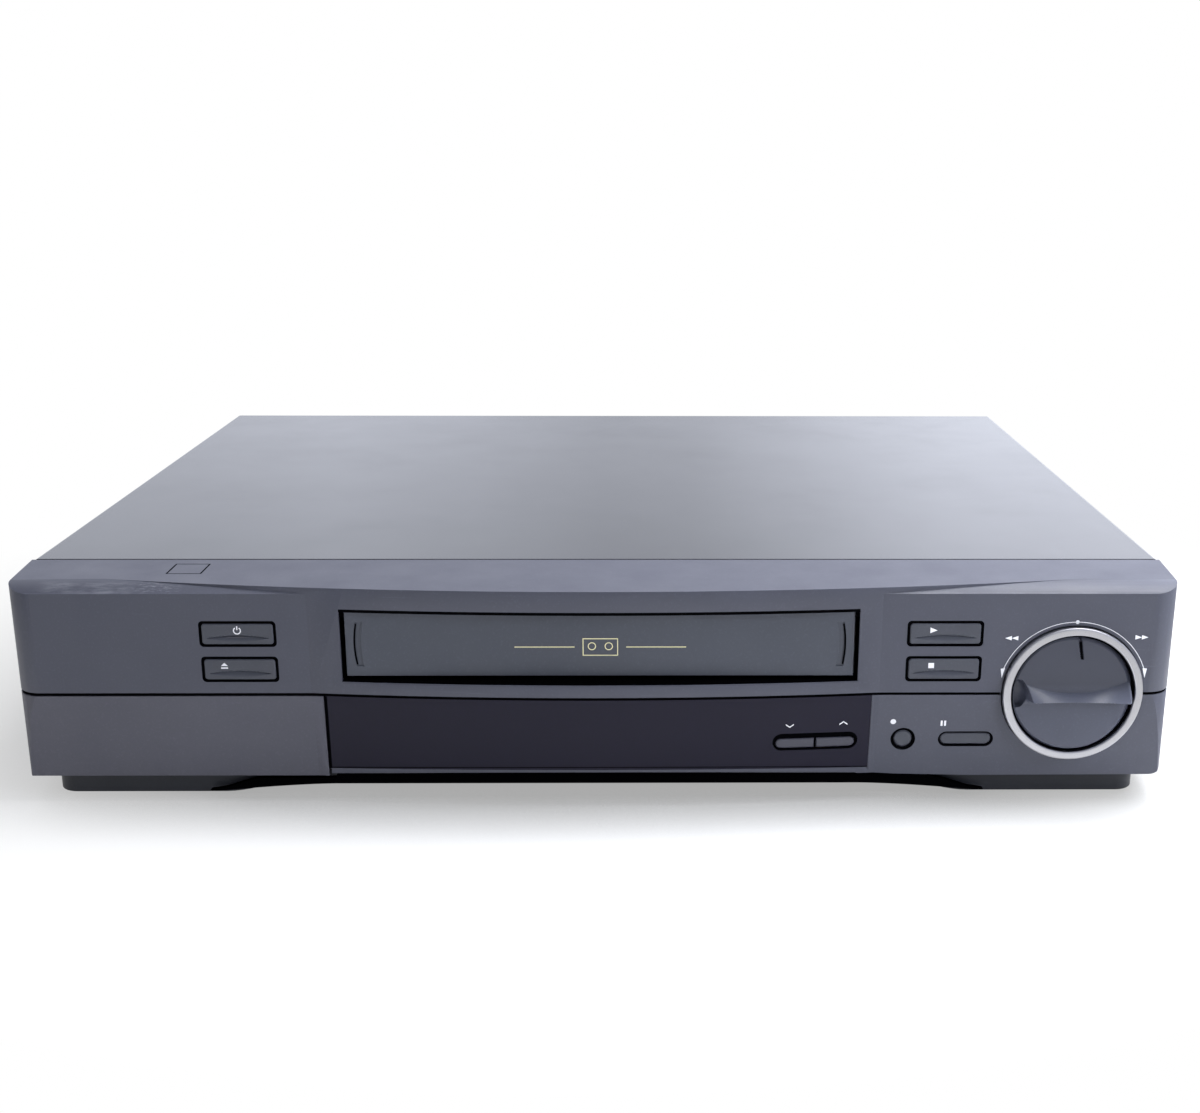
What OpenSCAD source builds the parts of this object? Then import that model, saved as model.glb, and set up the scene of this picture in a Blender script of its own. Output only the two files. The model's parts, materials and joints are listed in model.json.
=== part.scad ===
// Front-loading VHS video cassette recorder, built up as it comes apart on a bench.
// X runs to the right, Y to the back and Z up. The origin is on the table, midway between the
// ends and midway between the dial's grip and the tips of the aerial sockets.

/* [Case] */
// Width of the front moulding
body_w = 430; // [425:1:440]
// Depth from the flat ends of the front face to the rear edge of the cover
case_d = 335; // [330:1:350]
// Height from the table to the top of the cover
body_h = 87; // [86:0.5:92]
// Thickness of the cover's and the base pan's sheet steel
sheet_t = 1; // [0.8:0.1:1.2]
// Height of the base pan's underside above the table
pan_lift = 7; // [6.5:0.5:8]
// Height of the cover's lower edges above the table
cover_lift = 8.5; // [8:0.5:10]
// Bend radius of the cover's long upper edges
cover_r = 1.6; // [1.5:0.1:2]
// How far the rear panel lies inside the cover's rear edge
rear_inset = 2; // [1:0.5:4]
// Thickness of the rear panel
rear_t = 2; // [1.6:0.2:3]

/* [Front moulding] */
// Wall of the front moulding
wall = 2.5; // [2.3:0.1:3]
// Depth of the front moulding back to its seam with the cover
bezel_d = 37; // [35:0.5:40]
// Radius of the front corners in plan
corner_r = 10; // [8:0.5:12]
// How far each end spreads between its front corner and the seam
side_flare = 2.5; // [2:0.1:3]
// Depth of the crowned band along the top front edge
crown_d = 11; // [10:0.5:12]
// How far the crowned band drops at the front
crown_drop = 2.4; // [2:0.2:2.8]
// How far the middle of the front swells out
swell_h = 5.5; // [4:0.5:6]
// Width of the swell where it meets the flat ends
swell_w = 210; // [204:1:214]
// Height of the front above the split groove
upper_h = 41.3; // [41:0.1:42]
// Height of the front moulding's lower edge above the table
panel_lift = 9.8; // [9.5:0.1:10.5]
// How far the lower front leans back at its bottom edge
lean_d = 4.5; // [4:0.1:5]
// Width of the split groove
groove_w = 1.1; // [0.8:0.1:1.4]
// Depth of the split groove
groove_d = 1.5; // [1:0.1:1.8]
// Thickness of the front moulding's floor
floor_t = 1.5; // [1.2:0.1:2]
// Side of the square outline on the moulding's top
inset_square = 13; // [10:0.5:16]

/* [Cassette opening] */
// How far the cassette opening lies to the right of the middle
slot_x = 1.7; // [-2:0.1:2.5]
// Width of the cassette opening
slot_w = 190; // [190:0.2:191]
// Height of the cassette opening
slot_h = 28.1; // [28:0.1:29]
// Depth of the opening's upper edge below the top
slot_drop = 7.9; // [7.5:0.1:8.4]
// Depth of the rim round the opening, behind the flat ends of the face
rim_d = 8; // [7:0.5:9]
// Thickness of that rim
rim_t = 1.6; // [1.4:0.1:2]
// Thickness of the flap
flap_t = 2; // [1.8:0.1:2.2]
// Gap at each end of the flap
flap_end_gap = 1.7; // [1:0.1:2.4]
// Gap above the flap
flap_top_gap = 0.7; // [0.5:0.1:1]
// Gap below the flap
flap_foot_gap = 1.8; // [1:0.1:2.4]
// Radius of the flap's hinge pins
flap_pin_r = 0.8; // [0.7:0.1:0.9]

/* [Keys] */
// Width of the hole for a main key
key_hole_w = 28.2; // [26:0.2:30]
// Height of the hole for a main key
key_hole_h = 10; // [9.5:0.1:10.5]
// Gap round a main key
key_gap = 1.1; // [0.9:0.1:1.2]
// Distance between the two keys of a pair
key_pitch = 13.7; // [13.5:0.1:14.2]
// Depth of the upper keys' centre below the top
key_drop = 17.75; // [17:0.25:18.5]
// Distance from the middle to the left pair of keys
keys_left_x = 130.6; // [128:0.2:133]
// Distance from the middle to the right pair of keys
keys_right_x = 128.4; // [126:0.2:130]
// Travel of every key
key_travel = 0.8; // [0.6:0.1:0.9]
// Depth below the top of the record, pause and channel keys
small_key_drop = 60.4; // [59.5:0.1:61]
// Distance from the middle to the record key
record_x = 115.1; // [113:0.2:117]
// Diameter of the record key
record_dia = 6.6; // [6:0.1:7]
// Diameter of the dish round the record key
record_dish = 9.4; // [9:0.1:10]
// Distance from the middle to the pause key
pause_x = 138.7; // [137:0.2:140]
// Width of the pause key
pause_w = 20; // [18:0.2:21]
// Height of the pause key
pause_h = 5.6; // [5:0.1:6]
// Distance from the middle to the split between the channel keys
channel_x = 81.8; // [80:0.2:83]
// Width of the pair of channel keys
channel_w = 31.4; // [30:0.2:32]
// Height of the channel keys
channel_h = 6.4; // [6:0.1:6.8]
// Gap round each small key
small_gap = 0.4; // [0.3:0.05:0.5]

/* [Window and door] */
// Distance from the middle to the window's left edge
window_left = 100.1; // [99:0.1:100.5]
// Distance from the middle to the window's right edge
window_right = 102.3; // [101:0.1:103]
// Thickness of the window
window_t = 2; // [1.8:0.1:2.2]
// Height of the strip of moulding below the window
window_strip = 4.2; // [3.6:0.1:5]
// Dark gap between the window and the door
door_gap = 2.4; // [2.2:0.1:2.8]
// Depth of the door's return round the left corner
door_return = 11.5; // [11:0.5:12]
// Depth of the recess behind the door
recess_d = 20; // [18:0.5:22]
// Radius of the door's hinge pins
door_pin_r = 1.5; // [1.4:0.1:1.6]

/* [Dial] */
// Distance from the middle to the dial
dial_x = 176.7; // [175:0.1:179]
// Depth of the dial's centre below the top
dial_drop = 41; // [40.5:0.1:41.5]
// Outer diameter of the bright ring
ring_od = 52; // [50:0.5:54]
// Width of the bright ring
ring_w = 3.1; // [2.8:0.1:3.3]
// How far the ring stands out in front of the flat face
ring_out = 2.2; // [1.6:0.2:2.8]
// How far the dial's grip stands out in front of the flat face
grip_out = 6.5; // [5.5:0.5:8]
// Gap between the ring and the turning dial
dial_gap = 0.8; // [0.5:0.1:0.9]
// Radius of the dial's spindle
spindle_r = 3; // [2.6:0.2:3.2]

/* [Tape transport] */
// Width of a cassette
tape_w = 188; // [187:0.5:189]
// Thickness of a cassette
tape_t = 25; // [24.5:0.1:25.2]
// Height of the deck plate's top above the table
deck_z = 25; // [24.5:0.1:25.5]
// Thickness of the deck plate
deck_t = 1.5; // [1.2:0.1:1.8]
// Height of a playing cassette above the deck plate
play_lift = 5.5; // [5.2:0.1:6]
// Depth of the cassette holder's front edge behind the flat face
holder_y = 31; // [30:0.5:32]
// Depth of the cassette holder from front to back
holder_d = 53.5; // [52:0.5:55]
// Travel of the loading carriage
load_travel = 66; // [62:1:68]
// Distance between the two reel tables
reel_pitch = 92; // [91:0.5:93]
// Depth of the reel tables behind the flat face
reel_y = 97; // [96:0.5:98]
// Radius of a reel table
reel_r = 22; // [20:0.5:22.5]
// Radius of the head drum
drum_r = 31; // [30:0.1:31.5]
// Depth of the drum's centre behind the flat face
drum_y = 187; // [186:0.5:189]
// Tilt of the head drum
drum_tilt = 5; // [4:0.5:6]
// Radius of the capstan shaft
capstan_r = 2; // [1.8:0.1:2.2]
// Radial running clearance of shafts and pins
run_gap = 0.05; // [0.03:0.01:0.08]
// Gap that keeps moving pieces clear of their guides
slide_gap = 0.3; // [0.25:0.05:0.4]

/* [Rear] */
// Radius of a phono socket's barrel
phono_r = 4.15; // [4.1:0.05:4.2]
// Distance between phono sockets
phono_pitch = 16; // [14:0.5:18]
// Radius of an aerial socket
aerial_r = 4.7; // [4.6:0.05:4.8]
// How far the aerial sockets stand out behind the rear panel
aerial_out = 10; // [9:0.5:12]
// How far the phono sockets stand out behind the rear panel
phono_out = 8; // [7:0.5:9]
// Width of the mains inlet's opening
inlet_w = 14; // [13.6:0.2:15]
// Height of the mains inlet's opening
inlet_h = 8; // [7.6:0.2:8.6]
// Depth of the mains inlet
inlet_d = 12; // [11:0.5:13]

/* [Hidden] */
$fn = 48;
big_fn = 720;
eps = 0.01;
touch = 0.1;

// Levels and planes
fy = -(case_d - rear_inset + aerial_out - grip_out) / 2;
split_z = body_h - upper_h;
panel_z = panel_lift;
lower_h = split_z - panel_z;
lean_a = atan(lean_d / lower_h);
lower_wall = wall + 0.2;
swell_r = (swell_w * swell_w / 4 + swell_h * swell_h) / (2 * swell_h);
crown_r = (crown_d * crown_d + crown_drop * crown_drop) / (2 * crown_drop);
swell_run = sqrt(2 * swell_r * (swell_h + crown_d));
lean_at = function(z) lean_d * (split_z - z) / lower_h;
swell_at = function(x) swell_h - swell_r + sqrt(swell_r * swell_r - x * x);
corner_x = body_w / 2 - corner_r;
flare_a = acos(corner_r / norm([bezel_d - corner_r, corner_r + side_flare]))
    - atan2(bezel_d - corner_r, corner_r + side_flare);
under_slope = 0.5;
under_y = fy + lean_d - 0.3;
cover_w = body_w + 2 * side_flare - 0.6;
cover_in = cover_w / 2 - sheet_t;
seam_gap = 0.4;
seam_y = fy + bezel_d + seam_gap;
rear_y = fy + case_d;
panel_y = rear_y - rear_inset - rear_t;
pan_top = pan_lift + sheet_t;
frame_t = 2;
frame_top = pan_top + frame_t;

// Cassette opening and flap
slot_top = body_h - slot_drop;
slot_foot = slot_top - slot_h;
flap_front = fy + 0.5;
flap_axis_y = flap_front + flap_t / 2;
flap_axis_z = slot_top - flap_top_gap - flap_t / 2;
flap_half = slot_w / 2 - flap_end_gap;

// Boards behind the front
board_y = fy + 11.4;
board_t = 1.6;
switch_h = 4.9;
key_flange_y = fy + wall + slide_gap;
key_flange_t = 1;
stem_end = board_y - switch_h - key_travel - touch;
small_z = body_h - small_key_drop;
small_back = function(flange_h, lift) fy - lift + lean_at(small_z - flange_h / 2)
    + lower_wall / cos(lean_a) + slide_gap;
channel_switch_h = 4.3;
channel_stem_end = board_y - channel_switch_h - key_travel - touch;
small_switch_h = floor(100 * (board_y - small_back(record_dia + 2.4, 0) - key_flange_t
    - key_travel - touch)) / 100;
dial_z = body_h - dial_drop;
ring_shelf = fy + 8;
boss_end = fy + 10.4;

// Fall-front door
door_right = window_left + door_gap;
partition_t = 2;
recess_left = body_w / 2 - 12;
recess_wall = 1.6;
door_top = split_z - groove_w / 2 - 0.2;
door_foot = panel_z + floor_t;
hinge_z = panel_z + 4.4;
ear_r = 2.2;
hinge_y = fy + lean_at(hinge_z) + wall / cos(lean_a) + ear_r + 0.6;
door_lug_t = 2;
door_swing_gap = 1.7;
door_back = fy + door_return + door_swing_gap;

// Tape transport
tape_z = slot_foot + 0.2;
play_z = deck_z + play_lift;
drop_travel = tape_z - play_z;
holder_sheet = 1;
holder_half = (tape_w + 1) / 2;
holder_out = holder_half + holder_sheet;
cheek_t = 3;
cheek_in = holder_out + slide_gap;
cheek_out = cheek_in + cheek_t;
frame_in = cheek_out + slide_gap;
loader_t = 5;
hy = fy + holder_y;
pin_r = 2;
holder_pin_z = tape_z + 18;
runner_z = tape_z + 8;
runner_h = 4;
runner_out = 2.6;
deck_half = 108;
deck_y0 = fy + 29;
deck_y1 = fy + 234;
drum_lift = 6;
drum_low_h = 18;
drum_up_h = 16;
guide_from = [24, 142];
guide_to = [42, 196];
guide_run = norm(guide_to - guide_from);
guide_a = atan2(guide_to[1] - guide_from[1], guide_to[0] - guide_from[0]);
capstan_at = [47, 150];
pinch_r = 7;
pinch_pivot = [73.65, 167.65];
pinch_open = [49.65, 168.25];
cam_teeth = 48;
pinion_teeth = 12;
tooth_m = 1;
cam_at = [80, 212];
pinion_at = [50, 212];

// Boards on the main frame
pcb_z = 14;
pcb_t = 1.6;
pcb_top = pcb_z + pcb_t;
pcb_edge = cover_in - 6;
side_pcb_in = slot_x + deck_half + 2.3;
aerial_x = body_w / 2 - 65;
aerial_z = 32;
aerial_pitch = 22;
phono_x = 20;
phono_z = 26;
inlet_x = 45 - body_w / 2;
inlet_z = 30;
switch_x = body_w / 2 - 19.5;
foot_x = body_w / 2 - 35;
screw_h = 1.2;
nut_t = 1.6;
foot_h = 1.2;
foot_r = 9;

// ---- plain helpers ----

module box(x0, x1, y0, y1, z0, z1) {
    translate([x0, y0, z0]) cube([x1 - x0, y1 - y0, z1 - z0]);
}

// A flat outline of rounded corners, centred
module rounded(w, h, r) {
    square([w - 2 * r, h], center = true);
    square([w, h - 2 * r], center = true);
    for (sx = [-1, 1], sz = [-1, 1])
        translate([sx * (w / 2 - r), sz * (h / 2 - r)]) circle(r, $fn = 32);
}

// Stands an outline drawn in X and Z upright and runs it back from y0 to y1
module run_back(y0, y1) {
    translate([0, y1, 0]) rotate([90, 0, 0]) linear_extrude(y1 - y0) children();
}

// Runs an outline drawn in Y and Z along X, from x0 to x1
module run_across(x0, x1) {
    translate([x0, 0, 0]) rotate([90, 0, 90]) linear_extrude(x1 - x0) children();
}

module rod_x(x0, x1, y, z, r) {
    translate([x0, y, z]) rotate([0, 90, 0]) cylinder(r = r, h = x1 - x0);
}

module rod_y(x, y0, y1, z, r) {
    translate([x, y1, z]) rotate([90, 0, 0]) cylinder(r = r, h = y1 - y0);
}

module rod_z(x, y, z0, z1, r) {
    translate([x, y, z0]) cylinder(r = r, h = z1 - z0);
}

// A gear outline: straight-flanked teeth on a root circle, thin enough to run with backlash
module gear_outline(teeth) {
    pitch_r = tooth_m * teeth / 2;
    root_r = pitch_r - 1.25 * tooth_m;
    tip_r = pitch_r + 0.85 * tooth_m;
    root_half = 0.98 * tooth_m;
    tip_half = 0.3 * tooth_m;
    circle(root_r, $fn = 96);
    for (i = [0 : teeth - 1])
        rotate(i * 360 / teeth)
            polygon([[root_r - 0.4, -root_half], [tip_r, -tip_half], [tip_r, tip_half],
                     [root_r - 0.4, root_half]]);
}

// ---- the shape of the front ----

// Plan of the flat ends with their rounded corners, set in by a wall
module ends_plan(inset, extra) {
    r = corner_r - inset;
    reach = bezel_d - corner_r + extra;
    side = [r * cos(flare_a), -r * sin(flare_a)];
    back = [(r + reach * sin(flare_a)) / cos(flare_a), reach];
    translate([0, fy + corner_r]) {
        polygon([[-corner_x, -r], [corner_x, -r], [corner_x + side[0], side[1]],
                 [corner_x + back[0], back[1]], [-corner_x - back[0], back[1]],
                 [-corner_x - side[0], side[1]]]);
        for (x = [-corner_x, corner_x]) translate([x, 0]) circle(r, $fn = 96);
    }
}

// Plan of the shallow swell, one wide arc
module swell_plan(inset, extra) {
    intersection() {
        translate([0, fy - swell_h + swell_r]) circle(swell_r - inset, $fn = big_fn);
        translate([-swell_run, fy - swell_h - 1])
            square([2 * swell_run, bezel_d + swell_h + 1 + extra]);
    }
}

// Side view of the crowned band, an arc that runs out level with the top
module crown_profile(inset) {
    translate([fy + crown_d, body_h - crown_r]) circle(crown_r - inset, $fn = 180);
    translate([fy + crown_d, 0]) square([bezel_d, body_h - inset]);
    translate([fy - 1, 0]) square([crown_d + 2, body_h - crown_r]);
}

module upper_front(inset, extra = 0) {
    intersection() {
        translate([0, 0, split_z]) linear_extrude(upper_h) ends_plan(inset, extra);
        run_across(-body_w, body_w) crown_profile(inset);
    }
    translate([0, 0, split_z]) linear_extrude(upper_h - inset) swell_plan(inset, extra);
}

// The lower front leans back from the split line and keeps the swell
module lower_front(inset, floor_z, extra = 0) {
    intersection() {
        translate([0, 0, floor_z]) linear_extrude(split_z - floor_z) ends_plan(inset, extra);
        translate([0, fy, split_z]) rotate([lean_a, 0, 0])
            translate([-body_w, inset, -2 * lower_h]) cube([2 * body_w, 3 * bezel_d, 3 * lower_h]);
    }
    intersection() {
        translate([0, fy, split_z]) rotate([lean_a, 0, 0])
            translate([0, swell_r - swell_h, -2 * lower_h])
                cylinder(r = swell_r - inset, h = 3 * lower_h, $fn = big_fn);
        box(-swell_w / 2, swell_w / 2, fy - 2 * swell_h, fy + bezel_d + extra, floor_z, split_z);
    }
}

module front_solid(inset, floor_z, extra = 0) {
    upper_front(inset, extra);
    lower_front(inset, floor_z, extra);
}

module key_hole(x, z, grow = 0) {
    run_back(fy - 1, fy + wall + 1) translate([x, z])
        rounded(key_hole_w + 2 * grow, key_hole_h + 2 * grow, 1.6);
}

module stadium(w, h) {
    square([w - h, h], center = true);
    for (side = [-1, 1]) translate([side * (w - h) / 2, 0]) circle(h / 2);
}

module board_boss(x, z, y0) {
    rod_y(x, y0, board_y, z, 3);
}

// ---- front pieces ----

module front_moulding() color([0.27, 0.27, 0.3]) difference() {
    union() {
        difference() {
            front_solid(0, panel_z);
            upper_front(wall, 5);
            lower_front(lower_wall, panel_z + floor_t, 5);
            moulding_openings();
        }
        intersection() {
            moulding_inner_walls();
            front_solid(0.6, panel_z);
        }
        recess_walls();
    }
    // cassette opening, hinge bores, dial bore
    box(slot_x - slot_w / 2, slot_x + slot_w / 2, fy - swell_h - 1, fy + rim_d + 1,
        slot_foot, slot_top);
    rod_x(slot_x - slot_w / 2 - rim_t - 1, slot_x + slot_w / 2 + rim_t + 1, flap_axis_y,
          flap_axis_z, flap_pin_r + run_gap);
    rod_x(-recess_left - 1, -window_left, hinge_y, hinge_z, door_pin_r + run_gap);
    rod_y(dial_x, fy - 1, ring_shelf, dial_z, ring_od / 2 + 0.4);
    rod_y(dial_x, fy - 1, boss_end + 1, dial_z, ring_od / 2 - ring_w);
    // the swell's underside slopes up to the front
    run_across(-swell_w / 2, swell_w / 2)
        polygon([[under_y, panel_z], [under_y, panel_z - 2], [under_y - 3 * swell_h, panel_z - 2],
                 [under_y - 3 * swell_h, panel_z + 3 * swell_h * under_slope]]);
}

module moulding_openings() {
    half = groove_w / 2;
    // split groove right round the front
    difference() {
        box(-body_w, body_w, fy - 2 * swell_h, fy + bezel_d + 1, split_z - half, split_z + half);
        translate([0, 0, split_z - 2 * half]) linear_extrude(4 * half) {
            ends_plan(groove_d, 5);
            swell_plan(groove_d, 5);
        }
    }
    // window
    box(-window_left - touch, window_right + touch, fy - 2 * swell_h, fy + 3 * wall,
        panel_z + window_strip - touch, split_z - half);
    // gap and door opening, open up to the groove's top
    box(-recess_left, -window_left - touch, fy - 2 * swell_h, fy + 3 * wall + lean_d,
        panel_z - 1, split_z + half);
    box(-body_w, -recess_left + eps, fy - 1, door_back, panel_z - 1, split_z + half);
    box(-recess_left - 1, -window_left - touch, fy - 1, door_back, panel_z - 1, panel_z + floor_t);
    // keys
    for (level = [0, 1]) {
        key_hole(-keys_left_x, body_h - key_drop - level * key_pitch);
        key_hole(keys_right_x, body_h - key_drop - level * key_pitch);
    }
    rod_y(record_x, fy, fy + 3 * wall + lean_d, small_z, record_dia / 2 + small_gap);
    rod_y(record_x, fy, fy + lean_at(small_z) + 0.6, small_z, record_dish / 2);
    run_back(fy, fy + 3 * wall + lean_d) translate([pause_x, small_z])
        stadium(pause_w + 2 * small_gap, pause_h + 2 * small_gap);
    // square outline on the top
    translate([-154, fy + 24, body_h - 0.4]) difference() {
        cube([inset_square, inset_square, 1], center = true);
        cube([inset_square - 0.8, inset_square - 0.8, 3], center = true);
    }
}

module moulding_inner_walls() {
    // rim of the cassette opening
    box(slot_x - slot_w / 2 - rim_t, slot_x + slot_w / 2 + rim_t, fy - swell_h, fy + rim_d,
        slot_foot - rim_t, slot_top + rim_t);
    // collar behind the dial
    rod_y(dial_x, fy, boss_end, dial_z, ring_od / 2 + 0.4 + rim_t);
    // bosses for the boards
    for (x = [-154, -104.6]) board_boss(x, body_h - 9, fy + 1);
    board_boss(-154, split_z + 8, fy + 1);
    for (x = [-80, 0, 80])
        box(x - 3, x + 3, board_y - 4, board_y, panel_z + floor_t - eps, panel_z + 8);
    board_boss(148, body_h - 9, fy + 1);
    board_boss(108, body_h - 9, fy + 1);
    board_boss(108, split_z - 6, fy + 1);
}

// Walls of the recess behind the fall-front door
module recess_walls() {
    back = fy + recess_d;
    top = split_z + groove_w / 2;
    box(-recess_left, -window_left - touch, fy + wall - eps, back, top, top + recess_wall);
    for (ear = [[-recess_left, recess_wall], [-window_left - touch - partition_t, partition_t]]) {
        box(ear[0], ear[0] + ear[1], hinge_y, back, panel_z + 1.9, top + eps);
        box(ear[0], ear[0] + ear[1], hinge_y - ear_r, back, hinge_z, top + eps);
        rod_x(ear[0], ear[0] + ear[1], hinge_y, hinge_z, ear_r);
    }
    box(-recess_left, -recess_left + recess_wall, door_back, back, panel_z + eps, panel_z + 2);
    box(-window_left - touch - partition_t, -window_left - touch, door_back, back,
        panel_z + eps, panel_z + 2);
}

module display_window() color([0.14, 0.13, 0.16]) difference() {
    lower_front(0.1, panel_z);
    lower_front(window_t, panel_z - 1, 5);
    box(-body_w, body_w, fy - 2 * swell_h, fy + 2 * bezel_d, 0, panel_z + window_strip);
    box(-body_w, body_w, fy - 2 * swell_h, fy + 2 * bezel_d, split_z - groove_w / 2, body_h);
    box(-body_w, -window_left, fy - 2 * swell_h, fy + 2 * bezel_d, 0, body_h);
    box(window_right, body_w, fy - 2 * swell_h, fy + 2 * bezel_d, 0, body_h);
    run_back(fy - 2 * swell_h, fy + bezel_d) translate([channel_x, small_z])
        stadium(channel_w + 2 * small_gap, channel_h + 2 * small_gap);
}

// The lower front's own skin, cut to the door's outline, with lugs and hinge pins inside
module socket_door() color([0.3, 0.3, 0.33]) {
    difference() {
        union() {
            difference() {
                lower_front(0, panel_z);
                lower_front(wall, panel_z - 1, 5);
            }
            intersection() {
                door_lugs();
                lower_front(0.6, panel_z);
            }
        }
        box(-body_w, body_w, fy - 1, fy + 2 * bezel_d, panel_z - 2, door_foot);
        box(-body_w, body_w, fy - 1, fy + 2 * bezel_d, door_top, body_h);
        box(-door_right, body_w, fy - 2 * swell_h, fy + 2 * bezel_d, 0, body_h);
        box(-body_w, -recess_left, fy + door_return, fy + 2 * bezel_d, 0, body_h);
    }
    rod_x(-recess_left + touch, -recess_left + recess_wall + slide_gap + door_lug_t, hinge_y,
          hinge_z, door_pin_r);
    rod_x(-door_right - door_lug_t, -window_left - touch - slide_gap, hinge_y, hinge_z,
          door_pin_r);
}

module door_lugs() {
    left = -recess_left + recess_wall + slide_gap;
    right = -door_right - door_lug_t;
    for (x = [left, right]) {
        box(x, x + door_lug_t, fy + 1, hinge_y, hinge_z - 1.9, hinge_z + 1.9);
        rod_x(x, x + door_lug_t, hinge_y, hinge_z, 1.9);
    }
}

module dial_ring() color([0.72, 0.72, 0.74]) difference() {
    rod_y(dial_x, fy - ring_out, ring_shelf, dial_z, ring_od / 2);
    rod_y(dial_x, fy - ring_out - 1, ring_shelf + 1, dial_z, ring_od / 2 - ring_w);
}

// A disc with a bar across it, hollowed above and below by two wide arcs
module dial_knob() color([0.3, 0.3, 0.33]) {
    knob_r = ring_od / 2 - ring_w - dial_gap;
    face = fy - 0.6;
    waist = 2.2;
    hollow_r = 48;
    difference() {
        rod_y(dial_x, face, fy + 5, dial_z, knob_r);
        rod_y(dial_x, fy + 1.2, fy + 6, dial_z, knob_r - 1.6);
        box(dial_x - 0.5, dial_x + 0.5, face - 1, face + 0.5, dial_z + 13, dial_z + 20);
    }
    difference() {
        rod_y(dial_x, fy - grip_out, face + touch, dial_z, knob_r - 2);
        for (side = [-1, 1])
            rod_y(dial_x, fy - grip_out - 1, face + 1, dial_z + side * (hollow_r + waist / 2),
                  hollow_r);
    }
    rod_y(dial_x, fy + 1, fy + 8.4, dial_z, spindle_r);
}

module cassette_flap() color([0.25, 0.25, 0.28]) {
    foot = slot_foot + flap_foot_gap;
    difference() {
        union() {
            box(slot_x - flap_half, slot_x + flap_half, flap_front, flap_front + flap_t, foot,
                flap_axis_z);
            rod_x(slot_x - flap_half, slot_x + flap_half, flap_axis_y, flap_axis_z, flap_t / 2);
        }
        // a shallow bowed groove near each end
        for (side = [-1, 1])
            translate([slot_x + side * (flap_half - 43.2), flap_front + 0.5,
                       (foot + flap_axis_z) / 2])
                rotate([90, 0, 0]) intersection() {
                    difference() {
                        cylinder(r = 40.3, h = 1, $fn = 96);
                        translate([0, 0, -1]) cylinder(r = 37.7, h = 3, $fn = 96);
                    }
                    translate([side * 39, 0, 0]) cube([8, 17, 4], center = true);
                }
    }
    rod_x(slot_x - slot_w / 2 - rim_t + 0.2, slot_x + slot_w / 2 + rim_t - 0.2, flap_axis_y,
          flap_axis_z, flap_pin_r);
}

// A main key: cap with a thumb hollow, a flange behind the wall and a stem to its switch
module main_key(x, level) {
    z = body_h - key_drop - level * key_pitch;
    w = key_hole_w - 2 * key_gap;
    h = key_hole_h - 2 * key_gap;
    hollow_r = 34;
    color([0.26, 0.26, 0.29]) {
        difference() {
            run_back(fy - 0.3, key_flange_y + touch) translate([x, z]) rounded(w, h, 1.1);
            intersection() {
                translate([x, fy - hollow_r + 1, z - h / 2 + 1.2]) rotate([-22, 0, 0])
                    cylinder(r = hollow_r, h = 3.6, $fn = 180);
                box(x - w / 2 + 1, x + w / 2 - 1, fy - 2, fy + 2, z - h / 2 + 1.1, z);
            }
        }
        run_back(key_flange_y, key_flange_y + key_flange_t) translate([x, z])
            square([w + 3.4, h + 3.4], center = true);
        rod_y(x, key_flange_y, stem_end, z, 2);
    }
}

module power_key() main_key(-keys_left_x, 0);
module eject_key() main_key(-keys_left_x, 1);
module play_key() main_key(keys_right_x, 0);
module stop_key() main_key(keys_right_x, 1);

// A small key follows the leaning face; its flange stands behind the wall
module small_key(x, flange_w, flange_h, lift = 0, reach = stem_end) color([0.24, 0.24, 0.27]) {
    back = small_back(flange_h, lift);
    intersection() {
        run_back(fy - 2 * swell_h, back + touch) translate([x, small_z]) children();
        lower_front(-0.2, panel_z);
    }
    run_back(back, back + key_flange_t) translate([x, small_z])
        square([flange_w, flange_h], center = true);
    rod_y(x, back, max(back + key_flange_t, reach), small_z, 1.6);
}

module record_key() small_key(record_x, record_dia + 2.4, record_dia + 2.4)
    circle(record_dia / 2);
module pause_key() small_key(pause_x, pause_w + 2.4, pause_h + 2.4) stadium(pause_w, pause_h);

module channel_key(side) {
    half = channel_w / 2;
    small_key(channel_x + side * half / 2, half - 0.6, channel_h + 2.4,
              swell_at(channel_x + (side > 0 ? half : 0)), channel_stem_end)
        translate([-side * half / 2, 0]) intersection() {
            stadium(channel_w, channel_h);
            translate([side * (half / 2 + 0.2), 0]) square([half, channel_h + 1], center = true);
        }
}

module channel_down_key() channel_key(-1);
module channel_up_key() channel_key(1);

// ---- case ----

module cover_outline(inset) {
    r = max(0.3, cover_r - inset);
    half = cover_w / 2 - inset;
    translate([-half, cover_lift - (inset > 0 ? 1 : 0)])
        square([2 * half, body_h - inset - r - cover_lift + (inset > 0 ? 1 : 0)]);
    translate([-half + r, body_h - inset - 2 * r]) square([2 * (half - r), 2 * r]);
    for (side = [-1, 1]) translate([side * (half - r), body_h - inset - r]) circle(r);
}

// One sheet wrapped over the top and both sides
module top_cover() color([0.09, 0.09, 0.1]) difference() {
    run_back(seam_y, rear_y) cover_outline(0);
    run_back(seam_y - 1, rear_y + 1) cover_outline(sheet_t);
    for (side = [-1, 1], i = [0 : 9])
        box(side * cover_w / 2 - 2, side * cover_w / 2 + 2, fy + 120 + i * 14, fy + 129 + i * 14,
            body_h - 34, body_h - 32);
}

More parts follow.
